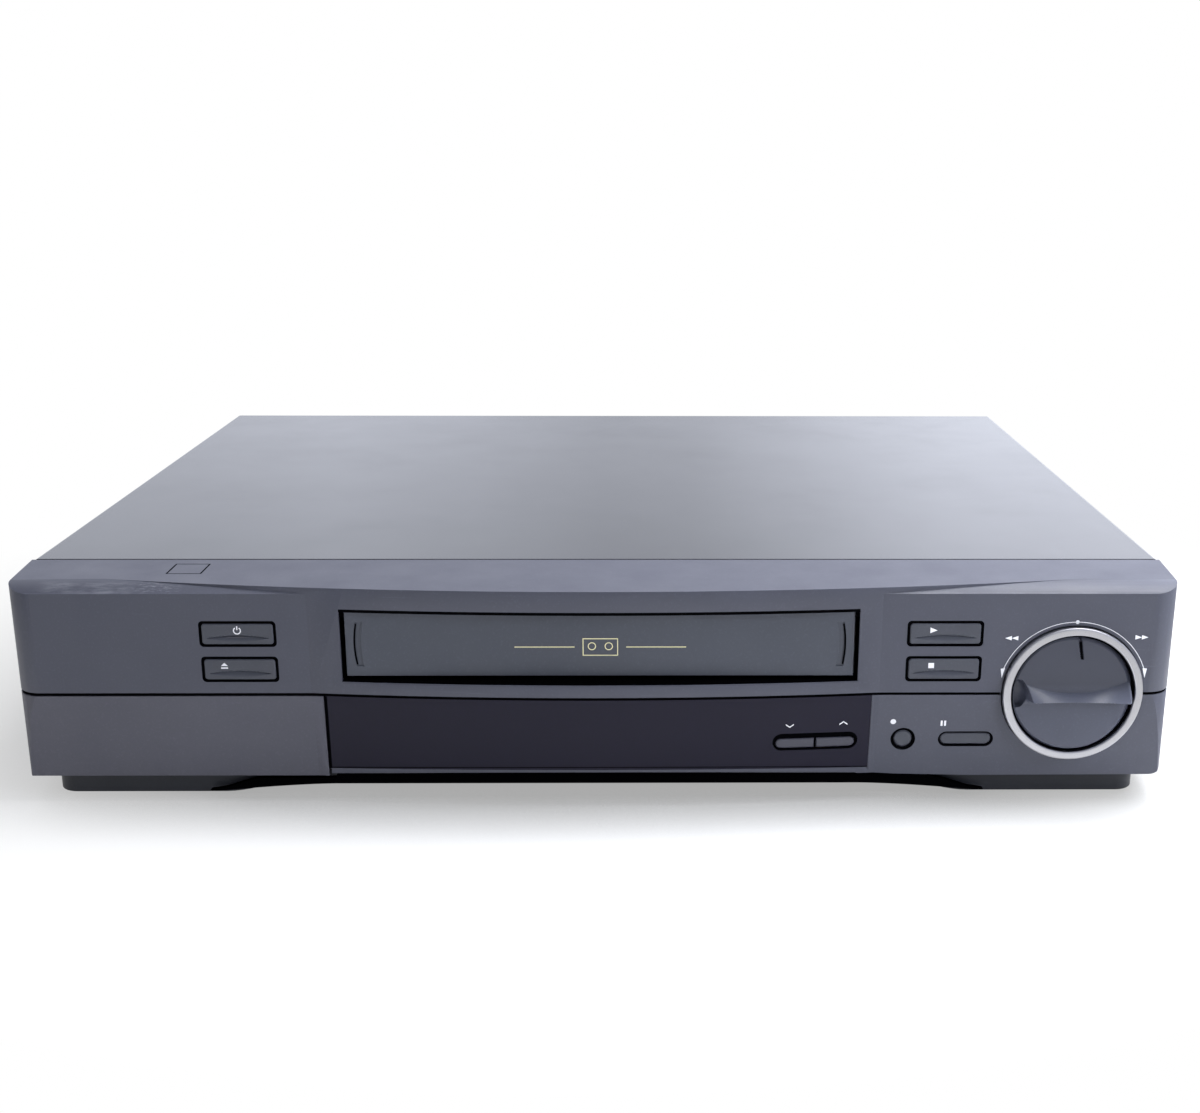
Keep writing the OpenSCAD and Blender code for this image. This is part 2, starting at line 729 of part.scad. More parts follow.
// Low moulded foot strip: two feet joined by a shallow arch, which is set back a little
module front_plinth() color([0.06, 0.06, 0.07]) {
    half = body_w / 2 - 8;
    bend = body_w / 2 - 103;
    bend_w = 30;
    y0 = fy + 12;
    y1 = fy + bezel_d + 4;
    arch = [for (i = [0 : 10]) let (t = i / 10) [bend + bend_w * (1 - t), t * t * (3 - 2 * t)]];
    rise = 4.8 - foot_h;
    set_back = 2.5;
    difference() {
        translate([0, 0, foot_h]) linear_extrude(panel_z - foot_h) {
            translate([-half, y0 + 8]) square([2 * half, y1 - y0 - 8]);
            for (side = [-1, 1]) {
                translate([side * (half - 8), y0 + 8]) circle(8);
                translate([0, y0])
                    polygon(concat([[side * (half - 8), 0]],
                                   [for (p = arch) [side * p[0], set_back * p[1]]],
                                   [[side * touch * -1, set_back], [side * touch * -1, 16],
                                    [side * (half - 8), 16]]));
            }
        }
        box(-half + 2, half - 2, y0 + 4.5, y1 + 1, 0, panel_z - 2);
        for (side = [-1, 1])
            run_back(y0 - 1, y1 + 1)
                polygon(concat([[side * (bend + bend_w), 0]],
                               [for (p = arch) [side * p[0], foot_h + rise * p[1]]],
                               [[side * touch * -1, foot_h + rise], [side * touch * -1, 0]]));
    }
    for (x = [-foot_x, foot_x]) rod_z(x, fy + 25, foot_h, panel_z - 2 + touch, foot_r);
}

module rubber_feet() color([0.05, 0.05, 0.05]) {
    for (x = [-foot_x, foot_x]) {
        rod_z(x, fy + 25, 0, foot_h, foot_r - 1);
        rod_z(x, rear_y - 35, 0, pan_lift, foot_r);
    }
}

// Folded tray: floor with vent slots and low flanges inside the cover's sides
module base_pan() color([0.6, 0.61, 0.62]) {
    half = cover_in - 0.2;
    y0 = fy + bezel_d + 4;
    y1 = panel_y - 0.2;
    difference() {
        box(-half, half, y0, y1, pan_lift, pan_lift + 10);
        box(-half + sheet_t, half - sheet_t, y0 - 1, y1 + 1, pan_top, pan_lift + 11);
        for (x = [-150 : 20 : 150], y = [90, 150, 210, 270])
            box(x - 2, x + 2, fy + y - 18, fy + y + 18, pan_lift - 1, pan_top + 1);
    }
}

// Moulded frame inside the pan, with posts for the deck plate and the boards
module main_frame() color([0.16, 0.16, 0.17]) {
    half = cover_in - 0.2 - sheet_t - 0.2;
    y0 = fy + bezel_d + 4.2;
    y1 = panel_y - 0.4;
    difference() {
        box(-half, half, y0, y1, pan_top, pan_top + 14);
        box(-half + 2, half - 2, y0 + 2, y1 - 2, frame_top, pan_top + 15);
        box(-half + 2, half - 2, y0 - 1, y1 + 1, frame_top + 3, pan_top + 15);
        for (x = [-0.35, -0.116, 0.116, 0.35] * body_w, y = [75, 165, 255])
            box(x - 0.084 * body_w, x + 0.084 * body_w, fy + y, fy + y + 62, pan_top - 1,
                frame_top + 1);
    }
    for (x = [-100, 100], y = [48, 152, 227])
        rod_z(slot_x + x, fy + y, frame_top - touch, deck_z - deck_t, 4);
    for (x = [9.5 - pcb_edge, pcb_edge - 9.5], y = [70, 160, 250, 320])
        rod_z(x, fy + y, frame_top - touch, pcb_z, 3);
    for (x = [-side_pcb_in - 6, side_pcb_in + 6], y = [70, 160, 250])
        rod_z(x, fy + y, frame_top - touch, pcb_z, 3);
    for (x = [-95, 0, 95]) rod_z(x, fy + 322, frame_top - touch, pcb_z, 3);
}

module rear_panel() color([0.13, 0.13, 0.14]) difference() {
    run_back(panel_y, panel_y + rear_t) intersection() {
        cover_outline(sheet_t + 0.2);
        translate([-body_w, pan_lift]) square([2 * body_w, body_h]);
    }
    for (i = [0, 1])
        rod_y(aerial_x + i * aerial_pitch, panel_y - 1, panel_y + 5, aerial_z, aerial_r + 0.1);
    run_back(panel_y - 1, panel_y + 5) translate([phono_x + phono_pitch, phono_z + phono_pitch / 2])
        square([3 * phono_pitch + 0.2, 2 * phono_pitch + 0.2], center = true);
    run_back(panel_y - 1, panel_y + 5) translate([inlet_x, inlet_z])
        square([inlet_w + 8.2, inlet_h + 8.2], center = true);
    run_back(panel_y - 1, panel_y + 5) translate([switch_x, aerial_z]) square([9, 5], center = true);
    for (i = [0 : 11])
        box(-120 + i * 9, -115 + i * 9, panel_y - 1, panel_y + 5, body_h - 26, body_h - 12);
}

module cover_screws() color([0.2, 0.2, 0.21]) {
    for (side = [-1, 1], y = [70, 290]) {
        difference() {
            rod_x(side > 0 ? cover_w / 2 : -cover_w / 2 - screw_h,
                  side > 0 ? cover_w / 2 + screw_h : -cover_w / 2, fy + y, pan_lift + 6, 3.6);
            for (a = [0, 90])
                translate([side * (cover_w / 2 + screw_h), fy + y, pan_lift + 6]) rotate([a, 0, 0])
                    cube([screw_h, 4.8, 0.8], center = true);
        }
    }
}

// ---- behind the front ----

module socket_panel() color([0.12, 0.12, 0.13]) {
    y0 = fy + recess_d;
    x_mid = -(recess_left + window_left) / 2;
    difference() {
        box(-recess_left, -window_left - touch, y0, y0 + 1.6, panel_z + floor_t,
            split_z + groove_w / 2 + recess_wall);
        for (i = [-1, 0, 1])
            rod_y(x_mid + i * 24, y0 - 1, y0 + 3, panel_z + 19, 1.6);
    }
    for (i = [-1, 0, 1]) difference() {
        union() {
            rod_y(x_mid + i * 24, y0 - 6, y0, panel_z + 19, phono_r);
            box(x_mid + i * 24 - 6, x_mid + i * 24 + 6, y0 + 1.6, y0 + 9, panel_z + 13,
                panel_z + 25);
        }
        rod_y(x_mid + i * 24, y0 - 7, y0 + 6, panel_z + 19, 1.6);
    }
}

module left_key_board() color([0.45, 0.33, 0.16])
    box(-159, -101, board_y, board_y + board_t, split_z + 4, body_h - 5.5);

module front_board() color([0.45, 0.33, 0.16]) {
    box(-window_left + 3, 206, board_y, board_y + board_t, panel_z + 3, split_z - 0.5);
    box(102, 206, board_y, board_y + board_t, split_z - 0.5 - touch, body_h - 5.5);
}

module key_switch(x, z, h = switch_h) {
    box(x - 3, x + 3, board_y - h + 1.1, board_y, z - 3, z + 3);
    rod_y(x, board_y - h, board_y - h + 1.1 + touch, z, 1.7);
}

module key_switches() color([0.1, 0.1, 0.1]) {
    for (level = [0, 1]) {
        key_switch(-keys_left_x, body_h - key_drop - level * key_pitch);
        key_switch(keys_right_x, body_h - key_drop - level * key_pitch);
    }
    key_switch(record_x, small_z, small_switch_h);
    key_switch(pause_x, small_z, small_switch_h);
    for (side = [-1, 1])
        key_switch(channel_x + side * channel_w / 4, small_z, channel_switch_h);
}

module display_tube() color([0.2, 0.35, 0.33])
    box(-62, 42, board_y - 6, board_y, panel_z + 8, panel_z + 28);

module jog_encoder() color([0.55, 0.55, 0.56]) difference() {
    union() {
        box(dial_x - 7, dial_x + 7, board_y - 5.8, board_y, dial_z - 7, dial_z + 7);
        rod_y(dial_x, fy + 1.6, board_y - 5.8 + touch, dial_z, 4.6);
    }
    rod_y(dial_x, fy, fy + 9, dial_z, spindle_r + run_gap);
}

// ---- cassette loading ----

module deck_plate() color([0.62, 0.63, 0.65]) difference() {
    union() {
        box(slot_x - deck_half, slot_x + deck_half, deck_y0, deck_y1, deck_z - deck_t, deck_z);
        for (side = [-1, 1])
            rod_z(slot_x + side * reel_pitch / 2, fy + reel_y, deck_z - 5, deck_z + 0.8, 6);
        rod_z(slot_x, fy + reel_y + 4, deck_z - 5, deck_z + 0.8, 5);
        rod_z(slot_x + pinch_pivot[0], fy + pinch_pivot[1], deck_z - 4, deck_z + 0.8, 5);
        rod_z(slot_x - 70, fy + 132, deck_z - 4, deck_z + 0.8, 4);
        rod_z(slot_x + cam_at[0], fy + cam_at[1], deck_z - 4, deck_z + 0.8, 5);
    }
    for (side = [-1, 1])
        rod_z(slot_x + side * reel_pitch / 2, fy + reel_y, deck_z - 6, deck_z + 2, 3 + run_gap);
    rod_z(slot_x, fy + reel_y + 4, deck_z - 6, deck_z + 2, 2 + run_gap);
    rod_z(slot_x + pinch_pivot[0], fy + pinch_pivot[1], deck_z - 5, deck_z + 2, 2.5 + run_gap);
    rod_z(slot_x - 70, fy + 132, deck_z - 5, deck_z + 2, 2 + run_gap);
    rod_z(slot_x + cam_at[0], fy + cam_at[1], deck_z - 5, deck_z + 2, 2.5 + run_gap);
    rod_z(slot_x + capstan_at[0], fy + capstan_at[1], deck_z - 5, deck_z + 1, 6.2);
    for (side = [-1, 1]) guide_frame(side)
        box(-3, guide_run + 3, -2.3, 2.3, deck_z - deck_t - 1, deck_z + 1);
}

// One moulded side of the loader, with a groove for the carriage's runner
module loader_frame(side) color([0.2, 0.2, 0.21]) {
    x0 = side > 0 ? slot_x + frame_in : slot_x - frame_in - loader_t;
    groove_x0 = side > 0 ? slot_x + frame_in - 1 : slot_x - frame_in - runner_out;
    difference() {
        box(x0, x0 + loader_t, hy - 6, hy + holder_d + load_travel + 10, deck_z, body_h - 4);
        box(groove_x0, groove_x0 + runner_out + 1, hy - 4 - slide_gap,
            hy + holder_d + load_travel + 8, runner_z - slide_gap,
            runner_z + runner_h + slide_gap);
        box(x0 - 1, x0 + loader_t + 1, hy + 4, hy + holder_d + load_travel, deck_z + 4,
            runner_z - 8);
        box(x0 - 1, x0 + loader_t + 1, hy + 4, hy + holder_d + load_travel, runner_z + 10,
            body_h - 9);
    }
}

module left_loader_frame() loader_frame(-1);
module right_loader_frame() loader_frame(1);

// Two slotted cheeks tied by a bar over the holder
module loading_carriage() color([0.75, 0.75, 0.72]) {
    for (side = [-1, 1]) {
        x0 = side > 0 ? slot_x + cheek_in : slot_x - cheek_out;
        difference() {
            union() {
                box(x0, x0 + cheek_t, hy - 2, hy + holder_d + 2, tape_z - drop_travel + 12,
                    body_h - 7);
                box(side > 0 ? slot_x + cheek_out - touch : slot_x - cheek_out - runner_out,
                    side > 0 ? slot_x + cheek_out + runner_out : slot_x - cheek_out + touch,
                    hy - 2, hy + holder_d + 2, runner_z, runner_z + runner_h);
            }
            for (y = [10, 43]) run_across(x0 - 1, x0 + cheek_t + 1) {
                translate([hy + y - pin_r - slide_gap, holder_pin_z - drop_travel])
                    square([2 * (pin_r + slide_gap), drop_travel]);
                for (z = [holder_pin_z, holder_pin_z - drop_travel])
                    translate([hy + y, z]) circle(pin_r + slide_gap);
            }
        }
    }
    box(slot_x - cheek_out, slot_x + cheek_out, hy + 24, hy + 34, body_h - 7 - touch, body_h - 4);
}

// Thin sheet cage: windowed top, sides, ledges for the cassette, rear tabs and guide pins
module cassette_holder() color([0.66, 0.67, 0.69]) {
    z0 = tape_z - 0.2 - holder_sheet;
    z1 = tape_z + tape_t + 0.8;
    difference() {
        box(slot_x - holder_out, slot_x + holder_out, hy, hy + holder_d, z0, z1 + holder_sheet);
        box(slot_x - holder_half, slot_x + holder_half, hy - 1, hy + holder_d + 1,
            z0 + holder_sheet, z1);
        box(slot_x - holder_half + 11, slot_x + holder_half - 11, hy - 1, hy + holder_d + 1,
            z0 - 1, z0 + 2);
        for (x = [-60, 0, 60])
            box(slot_x + x - 22, slot_x + x + 22, hy + 12, hy + holder_d - 12, z1 - 1, z1 + 2);
    }
    for (side = [-1, 1]) {
        box(side > 0 ? slot_x + holder_half - 10 : slot_x - holder_half,
            side > 0 ? slot_x + holder_half : slot_x - holder_half + 10,
            hy + holder_d - holder_sheet, hy + holder_d, z0, tape_z + 6);
        for (y = [10, 43])
            rod_x(side > 0 ? slot_x + holder_out - touch : slot_x - cheek_out + 0.2,
                  side > 0 ? slot_x + cheek_out - 0.2 : slot_x - holder_out + touch,
                  hy + y, holder_pin_z, pin_r);
    }
}

// ---- reels ----

// A reel table: flange, collar, splined spindle and the shaft below it
module reel(x) color([0.85, 0.85, 0.82]) translate([slot_x + x, fy + reel_y, 0]) {
    rod_z(0, 0, deck_z + 1.1, deck_z + 3.6, reel_r);
    rod_z(0, 0, deck_z + 3.6 - touch, deck_z + 6, 12);
    rod_z(0, 0, deck_z + 6 - touch, tape_z - 5, 6.5);
    for (i = [0 : 5]) rotate(i * 60)
        box(5, 9.5, -1, 1, deck_z + 6 - touch, tape_z - 8);
    rod_z(0, 0, deck_z - 5, deck_z + 1.1 + touch, 3);
}

module supply_reel() reel(-reel_pitch / 2);
module takeup_reel() reel(reel_pitch / 2);

idler_r = 10;
idler_reach = 26;
module idler_arm() color([0.3, 0.3, 0.32]) translate([slot_x, fy + reel_y + 4, 0]) {
    rod_z(0, 0, deck_z - 5, deck_z + 1.1 + touch, 2);
    rod_z(0, 0, deck_z + 1.1, deck_z + 2.6, 5);
    box(-2.5, 2.5, -idler_reach, 0, deck_z + 1.1, deck_z + 2.6);
    rod_z(0, -idler_reach, deck_z + 1.1, deck_z + 7, 1.5);
}

module idler_wheel() color([0.12, 0.12, 0.12])
    translate([slot_x, fy + reel_y + 4 - idler_reach, 0]) difference() {
        union() {
            rod_z(0, 0, deck_z + 2.9, deck_z + 5.4, idler_r);
            rod_z(0, 0, deck_z + 2.9, deck_z + 6.4, 4);
        }
        rod_z(0, 0, deck_z + 2, deck_z + 7, 1.5 + run_gap);
    }

// ---- head drum ----

module drum_place() {
    translate([slot_x, fy + drum_y, deck_z + drum_lift]) rotate([0, drum_tilt, 0]) children();
}

module lower_drum() color([0.78, 0.78, 0.8]) difference() {
    drum_place() difference() {
        union() {
            rod_z(0, 0, 0, drum_low_h, drum_r);
            rod_z(0, 0, -drum_lift - 6, touch, 20);
        }
        rod_z(0, 0, -20, drum_low_h + 1, 3 + run_gap);
    }
    box(slot_x - 60, slot_x + 60, fy + drum_y - 60, fy + drum_y + 60, 0, deck_z);
}

module upper_drum() color([0.84, 0.84, 0.86]) drum_place() {
    difference() {
        union() {
            rod_z(0, 0, drum_low_h + 0.3, drum_low_h + drum_up_h, drum_r);
            rod_z(0, 0, drum_low_h + drum_up_h - touch, drum_low_h + drum_up_h + 4, 9);
        }
        for (i = [0 : 5]) rotate(i * 60)
            rod_z(20, 0, drum_low_h + drum_up_h - 5, drum_low_h + drum_up_h + 1, 5);
    }
    rod_z(0, 0, 0, drum_low_h + 0.3 + touch, 3);
}

// ---- capstan and pinch roller ----

module capstan() color([0.7, 0.7, 0.72]) translate([slot_x + capstan_at[0], fy + capstan_at[1], 0]) {
    rod_z(0, 0, frame_top + 1, deck_z + 30, capstan_r);
    rod_z(0, 0, frame_top + 2, frame_top + 9, 24);
}

module capstan_bearing() color([0.75, 0.7, 0.5])
    translate([slot_x + capstan_at[0], fy + capstan_at[1], 0]) difference() {
        union() {
            rod_z(0, 0, deck_z - 4, deck_z + 6, 6);
            rod_z(0, 0, deck_z, deck_z + 1, 9);
        }
        rod_z(0, 0, 0, deck_z + 10, capstan_r + run_gap);
    }

module pinch_arm() color([0.66, 0.66, 0.68]) {
    reach = norm(pinch_pivot - pinch_open);
    turn = atan2(pinch_open[1] - pinch_pivot[1], pinch_open[0] - pinch_pivot[0]);
    translate([slot_x + pinch_pivot[0], fy + pinch_pivot[1], 0]) rotate(turn) {
        rod_z(0, 0, deck_z - 4, deck_z + 1.1 + touch, 2.5);
        rod_z(0, 0, deck_z + 1.1, deck_z + 3.1, 5);
        box(0, reach, -2.5, 2.5, deck_z + 1.1, deck_z + 3.1);
        rod_z(reach, 0, deck_z + 1.1, deck_z + 24, 1.5);
    }
}

module pinch_roller() color([0.08, 0.08, 0.08])
    translate([slot_x + pinch_open[0], fy + pinch_open[1], 0]) difference() {
        rod_z(0, 0, deck_z + 8, deck_z + 22, pinch_r);
        rod_z(0, 0, deck_z, deck_z + 30, 1.5 + run_gap);
    }

// ---- tape guides ----

// Puts the start of a guide's slot at the origin with the slot along +X
module guide_frame(side) {
    translate([slot_x, fy, 0]) mirror([side < 0 ? 1 : 0, 0, 0])
        translate([guide_from[0], guide_from[1], 0]) rotate(guide_a) children();
}

module guide_block(side) color([0.7, 0.68, 0.6]) guide_frame(side) {
    box(-2.6, 8, -2, 2, deck_z - deck_t - slide_gap - touch, deck_z + slide_gap + touch);
    box(-2.6, 8, -4.5, 4.5, deck_z - deck_t - slide_gap - 1.2, deck_z - deck_t - slide_gap);
    box(-4, 9, -5, 5, deck_z + slide_gap, deck_z + 4);
    rod_z(0, 0, deck_z + 4 - touch, deck_z + 10, 3.4);
    rod_z(0, 0, deck_z + 10 - touch, deck_z + 24, 2.6);
    rod_z(0, 0, deck_z + 24 - touch, deck_z + 25.5, 3.4);
    translate([5.5, 0, deck_z + 3.5]) rotate([0, 14, 0]) cylinder(r = 1.1, h = 18);
}

module supply_guide() guide_block(-1);
module takeup_guide() guide_block(1);

module tension_arm() color([0.66, 0.66, 0.68]) translate([slot_x - 70, fy + 132, 0])
    rotate(atan2(8, 28)) {
        rod_z(0, 0, deck_z - 4, deck_z + 1.1 + touch, 2);
        rod_z(0, 0, deck_z + 1.1, deck_z + 2.6, 4);
        box(0, 28, -2, 2, deck_z + 1.1, deck_z + 2.6);
        rod_z(28, 0, deck_z + 1.1, deck_z + 24, 1.5);
    }

module erase_head() color([0.72, 0.72, 0.74]) {
    box(slot_x - 68, slot_x - 56, fy + 172, fy + 184, deck_z, deck_z + 3);
    box(slot_x - 66, slot_x - 58, fy + 174, fy + 182, deck_z + 3 - touch, deck_z + 24);
}

module sound_head() color([0.72, 0.72, 0.74]) {
    box(slot_x + 52, slot_x + 64, fy + 178, fy + 188, deck_z, deck_z + 3);
    box(slot_x + 54, slot_x + 62, fy + 179, fy + 187, deck_z + 3 - touch, deck_z + 24);
}

// ---- loading drive ----

module loading_motor() color([0.55, 0.55, 0.57])
    translate([slot_x + pinion_at[0], fy + pinion_at[1], 0]) difference() {
        union() {
            rod_z(0, 0, deck_z, deck_z + 2, 13);
            rod_z(0, 0, deck_z + 10, deck_z + 32, 12);
            for (i = [0, 1, 2]) rotate(i * 90 + 90)
                box(9.4, 12, -2, 2, deck_z + 2 - touch, deck_z + 10 + touch);
        }
        rod_z(0, 0, deck_z - 1, deck_z + 20, 1.5 + run_gap);
    }

module motor_pinion() color([0.85, 0.85, 0.8])
    translate([slot_x + pinion_at[0], fy + pinion_at[1], 0]) {
        translate([0, 0, deck_z + 2.6]) linear_extrude(4.4) rotate(180 / pinion_teeth)
            gear_outline(pinion_teeth);
        rod_z(0, 0, deck_z + 0.4, deck_z + 18, 1.5);
    }

module cam_gear() color([0.88, 0.88, 0.84]) translate([slot_x + cam_at[0], fy + cam_at[1], 0]) {
    difference() {
        translate([0, 0, deck_z + 2.9]) linear_extrude(3.8) gear_outline(cam_teeth);
        difference() {
            rod_z(0, 0, deck_z + 5, deck_z + 8, 20);
            rod_z(0, 0, deck_z + 4, deck_z + 9, 15);
        }
    }
    rod_z(0, 0, deck_z - 4, deck_z + 3, 2.5);
    rod_z(0, 0, deck_z + 1.1, deck_z + 3, 6);
}

// ---- boards and supplies ----

module main_board() color([0.16, 0.36, 0.2]) {
    box(side_pcb_in, pcb_edge, fy + 48, panel_y - 3, pcb_z, pcb_top);
    box(-100, side_pcb_in + touch, deck_y1 + 6, panel_y - 3, pcb_z, pcb_top);
    for (y = [70, 110, 150, 190])
        box(135, 165, fy + y, fy + y + 12, pcb_top - touch, pcb_top + 4);
    for (x = [-80, -40]) box(x, x + 24, fy + 255, fy + 279, pcb_top - touch, pcb_top + 3);
}

module tuner_module() color([0.7, 0.71, 0.72]) {
    y1 = panel_y - 1.2;
    box(aerial_x - 14, aerial_x + aerial_pitch + 12, y1 - 60, y1, pcb_top, aerial_z + 12);
    for (i = [0, 1]) difference() {
        union() {
            rod_y(aerial_x + i * aerial_pitch, y1 - touch, panel_y + rear_t + aerial_out, aerial_z,
                  aerial_r);
            rod_y(aerial_x + i * aerial_pitch, panel_y + rear_t, panel_y + rear_t + nut_t,
                  aerial_z, 6.2);
        }
        rod_y(aerial_x + i * aerial_pitch, panel_y + rear_t, panel_y + rear_t + aerial_out + 1,
              aerial_z, 1);
    }
}

module power_board() color([0.45, 0.33, 0.16])
    box(-pcb_edge, -side_pcb_in, fy + 62, panel_y - 3, pcb_z, pcb_top);

module transformer() color([0.35, 0.34, 0.33]) {
    left = 19.5 - pcb_edge;
    box(left, left + 40, fy + 110, fy + 156, pcb_top, pcb_top + 34);
    for (y = [102, 156])
        box(left + 6, left + 34, fy + y - touch, fy + y + 8 + touch, pcb_top, pcb_top + 28);
}

module capacitors() color([0.12, 0.14, 0.3]) {
    for (i = [0 : 3]) rod_z(67.5 - pcb_edge, fy + 190 + i * 22, pcb_top, pcb_top + 26, 8);
    rod_z(35.5 - pcb_edge, fy + 250, pcb_top, pcb_top + 34, 12);
    for (i = [0 : 3]) rod_z(pcb_edge - 21.5, fy + 80 + i * 30, pcb_top, pcb_top + 14, 5);
}

module heat_sink() color([0.7, 0.7, 0.71]) {
    left = 11.5 - pcb_edge;
    box(left, left + 46, fy + 190, fy + 193, pcb_top, pcb_top + 40);
    for (x = [1 : 6 : 43])
        box(left + x, left + x + 2, fy + 193 - touch, fy + 208, pcb_top + 3, pcb_top + 40);
}

// Flat cables between the boards
module ribbon_cables() color([0.8, 0.8, 0.78]) {
    for (x = [128, 160]) {
        box(x, x + 18, board_y + board_t, fy + 60, pcb_top + 2, pcb_top + 2.5);
        box(x, x + 18, fy + 59.5, fy + 60, pcb_top, pcb_top + 2.2);
    }
    box(-30, -8, deck_y1 + 8, deck_y1 + 8.5, pcb_top, deck_z + 1);
    box(-30, -8, fy + drum_y + 38, deck_y1 + 8.5, deck_z + touch, deck_z + 0.6);
}

module phono_block() color([0.1, 0.1, 0.1]) {
    x0 = phono_x - phono_pitch / 2;
    z0 = phono_z - phono_pitch / 2;
    difference() {
        union() {
            box(x0, x0 + 3 * phono_pitch, panel_y - 10, panel_y + rear_t, z0, z0 + 2 * phono_pitch);
            box(x0 + 2, x0 + 3 * phono_pitch - 2, panel_y - 10, panel_y - 3.2, pcb_top, z0 + 1);
            for (i = [0, 1, 2], j = [0, 1])
                rod_y(phono_x + i * phono_pitch, panel_y + rear_t - touch,
                      panel_y + rear_t + phono_out, phono_z + j * phono_pitch, phono_r);
        }
        for (i = [0, 1, 2], j = [0, 1])
            rod_y(phono_x + i * phono_pitch, panel_y + 1, panel_y + rear_t + phono_out + 1,
                  phono_z + j * phono_pitch, 1.6);
    }
}

// Two-pin appliance inlet with a figure-8 mouth
module mains_inlet() color([0.08, 0.08, 0.08]) {
    difference() {
        union() {
            run_back(panel_y - inlet_d - 2, panel_y + rear_t + 1) translate([inlet_x, inlet_z])
                square([inlet_w + 4, inlet_h + 4], center = true);
            run_back(panel_y + rear_t, panel_y + rear_t + 1.5) translate([inlet_x, inlet_z])
                square([inlet_w + 10, inlet_h + 10], center = true);
            run_back(panel_y - 6, panel_y) translate([inlet_x, inlet_z])
                square([inlet_w + 8, inlet_h + 4], center = true);
            box(inlet_x - 9, inlet_x + 9, panel_y - inlet_d - 2, panel_y - 3.2, pcb_top,
                inlet_z - inlet_h / 2 - 1);
        }
        run_back(panel_y + rear_t + 1.5 - inlet_d, panel_y + rear_t + 3)
            translate([inlet_x, inlet_z]) {
                for (side = [-1, 1])
                    translate([side * (inlet_w - inlet_h) / 2, 0]) circle(inlet_h / 2);
                square([inlet_w - inlet_h, inlet_h - 1.4], center = true);
            }
    }
    for (side = [-1, 1])
        rod_y(inlet_x + side * 3.3, panel_y + rear_t + 1.4 - inlet_d, panel_y + rear_t - 1, inlet_z, 1.15);
}

module channel_switch() color([0.12, 0.12, 0.12]) {
    run_back(panel_y - 2.6, panel_y + rear_t + 0.8) translate([switch_x - 1.5, aerial_z])
        square([4, 3.6], center = true);
    run_back(panel_y - 3, panel_y - 0.3) translate([switch_x - 1.5, aerial_z])
        square([14, 8], center = true);
}

front_moulding();
display_window();
dial_ring();
dial_knob();
cassette_flap();
socket_door();
power_key();
eject_key();
play_key();
stop_key();
record_key();
pause_key();
channel_down_key();
channel_up_key();
top_cover();
front_plinth();
base_pan();
rubber_feet();
main_frame();
rear_panel();
cover_screws();
socket_panel();
left_key_board();
front_board();
key_switches();
display_tube();
jog_encoder();
deck_plate();
left_loader_frame();
right_loader_frame();
loading_carriage();
cassette_holder();
supply_reel();
takeup_reel();
idler_arm();
idler_wheel();
lower_drum();
upper_drum();
capstan();
capstan_bearing();
pinch_arm();
pinch_roller();
supply_guide();
takeup_guide();
tension_arm();
erase_head();
sound_head();
loading_motor();
motor_pinion();
cam_gear();
main_board();
tuner_module();
power_board();
transformer();
capacitors();
heat_sink();
ribbon_cables();
phono_block();
mains_inlet();
channel_switch();
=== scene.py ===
"""Front-loading cassette recorder: the looks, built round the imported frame.

The frame gives every main form. This file adds the fine forms, the printed marks and the finishes.
Forms are worked out in millimetres; the finishes and the lamps are in metres.
"""

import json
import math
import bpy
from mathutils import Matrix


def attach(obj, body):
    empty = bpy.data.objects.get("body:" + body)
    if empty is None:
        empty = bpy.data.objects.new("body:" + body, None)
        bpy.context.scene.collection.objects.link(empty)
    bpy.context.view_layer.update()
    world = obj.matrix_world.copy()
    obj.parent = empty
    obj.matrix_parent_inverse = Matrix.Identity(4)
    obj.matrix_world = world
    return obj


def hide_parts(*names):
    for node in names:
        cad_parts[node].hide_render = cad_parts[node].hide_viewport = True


bl_info = {
    "name": "Cassette recorder looks",
    "version": (1, 0, 0),
    "blender": (4, 5, 0),
    "location": "3D View > Sidebar > Recorder",
    "description": "Dresses the packed recorder with fine forms, marks and finishes",
    "category": "Object",
}

import bmesh
import bpy
import numpy as np
from bpy.props import FloatProperty, FloatVectorProperty, PointerProperty
from mathutils import Matrix, Vector

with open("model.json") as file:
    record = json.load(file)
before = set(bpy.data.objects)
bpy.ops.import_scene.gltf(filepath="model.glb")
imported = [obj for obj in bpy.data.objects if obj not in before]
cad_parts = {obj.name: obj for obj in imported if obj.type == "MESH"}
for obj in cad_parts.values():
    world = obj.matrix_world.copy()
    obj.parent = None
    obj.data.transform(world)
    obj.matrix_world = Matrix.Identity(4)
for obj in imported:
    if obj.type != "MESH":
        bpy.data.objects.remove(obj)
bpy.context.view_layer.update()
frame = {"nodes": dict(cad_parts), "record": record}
SLOT_OF = {part["node"]: part["material_slot"] for part in frame["record"]["subparts"]}
BODY_OF = {n: body for body, names in frame["record"]["behaviour"]["bodies"].items() for n in names}

MM = 0.001

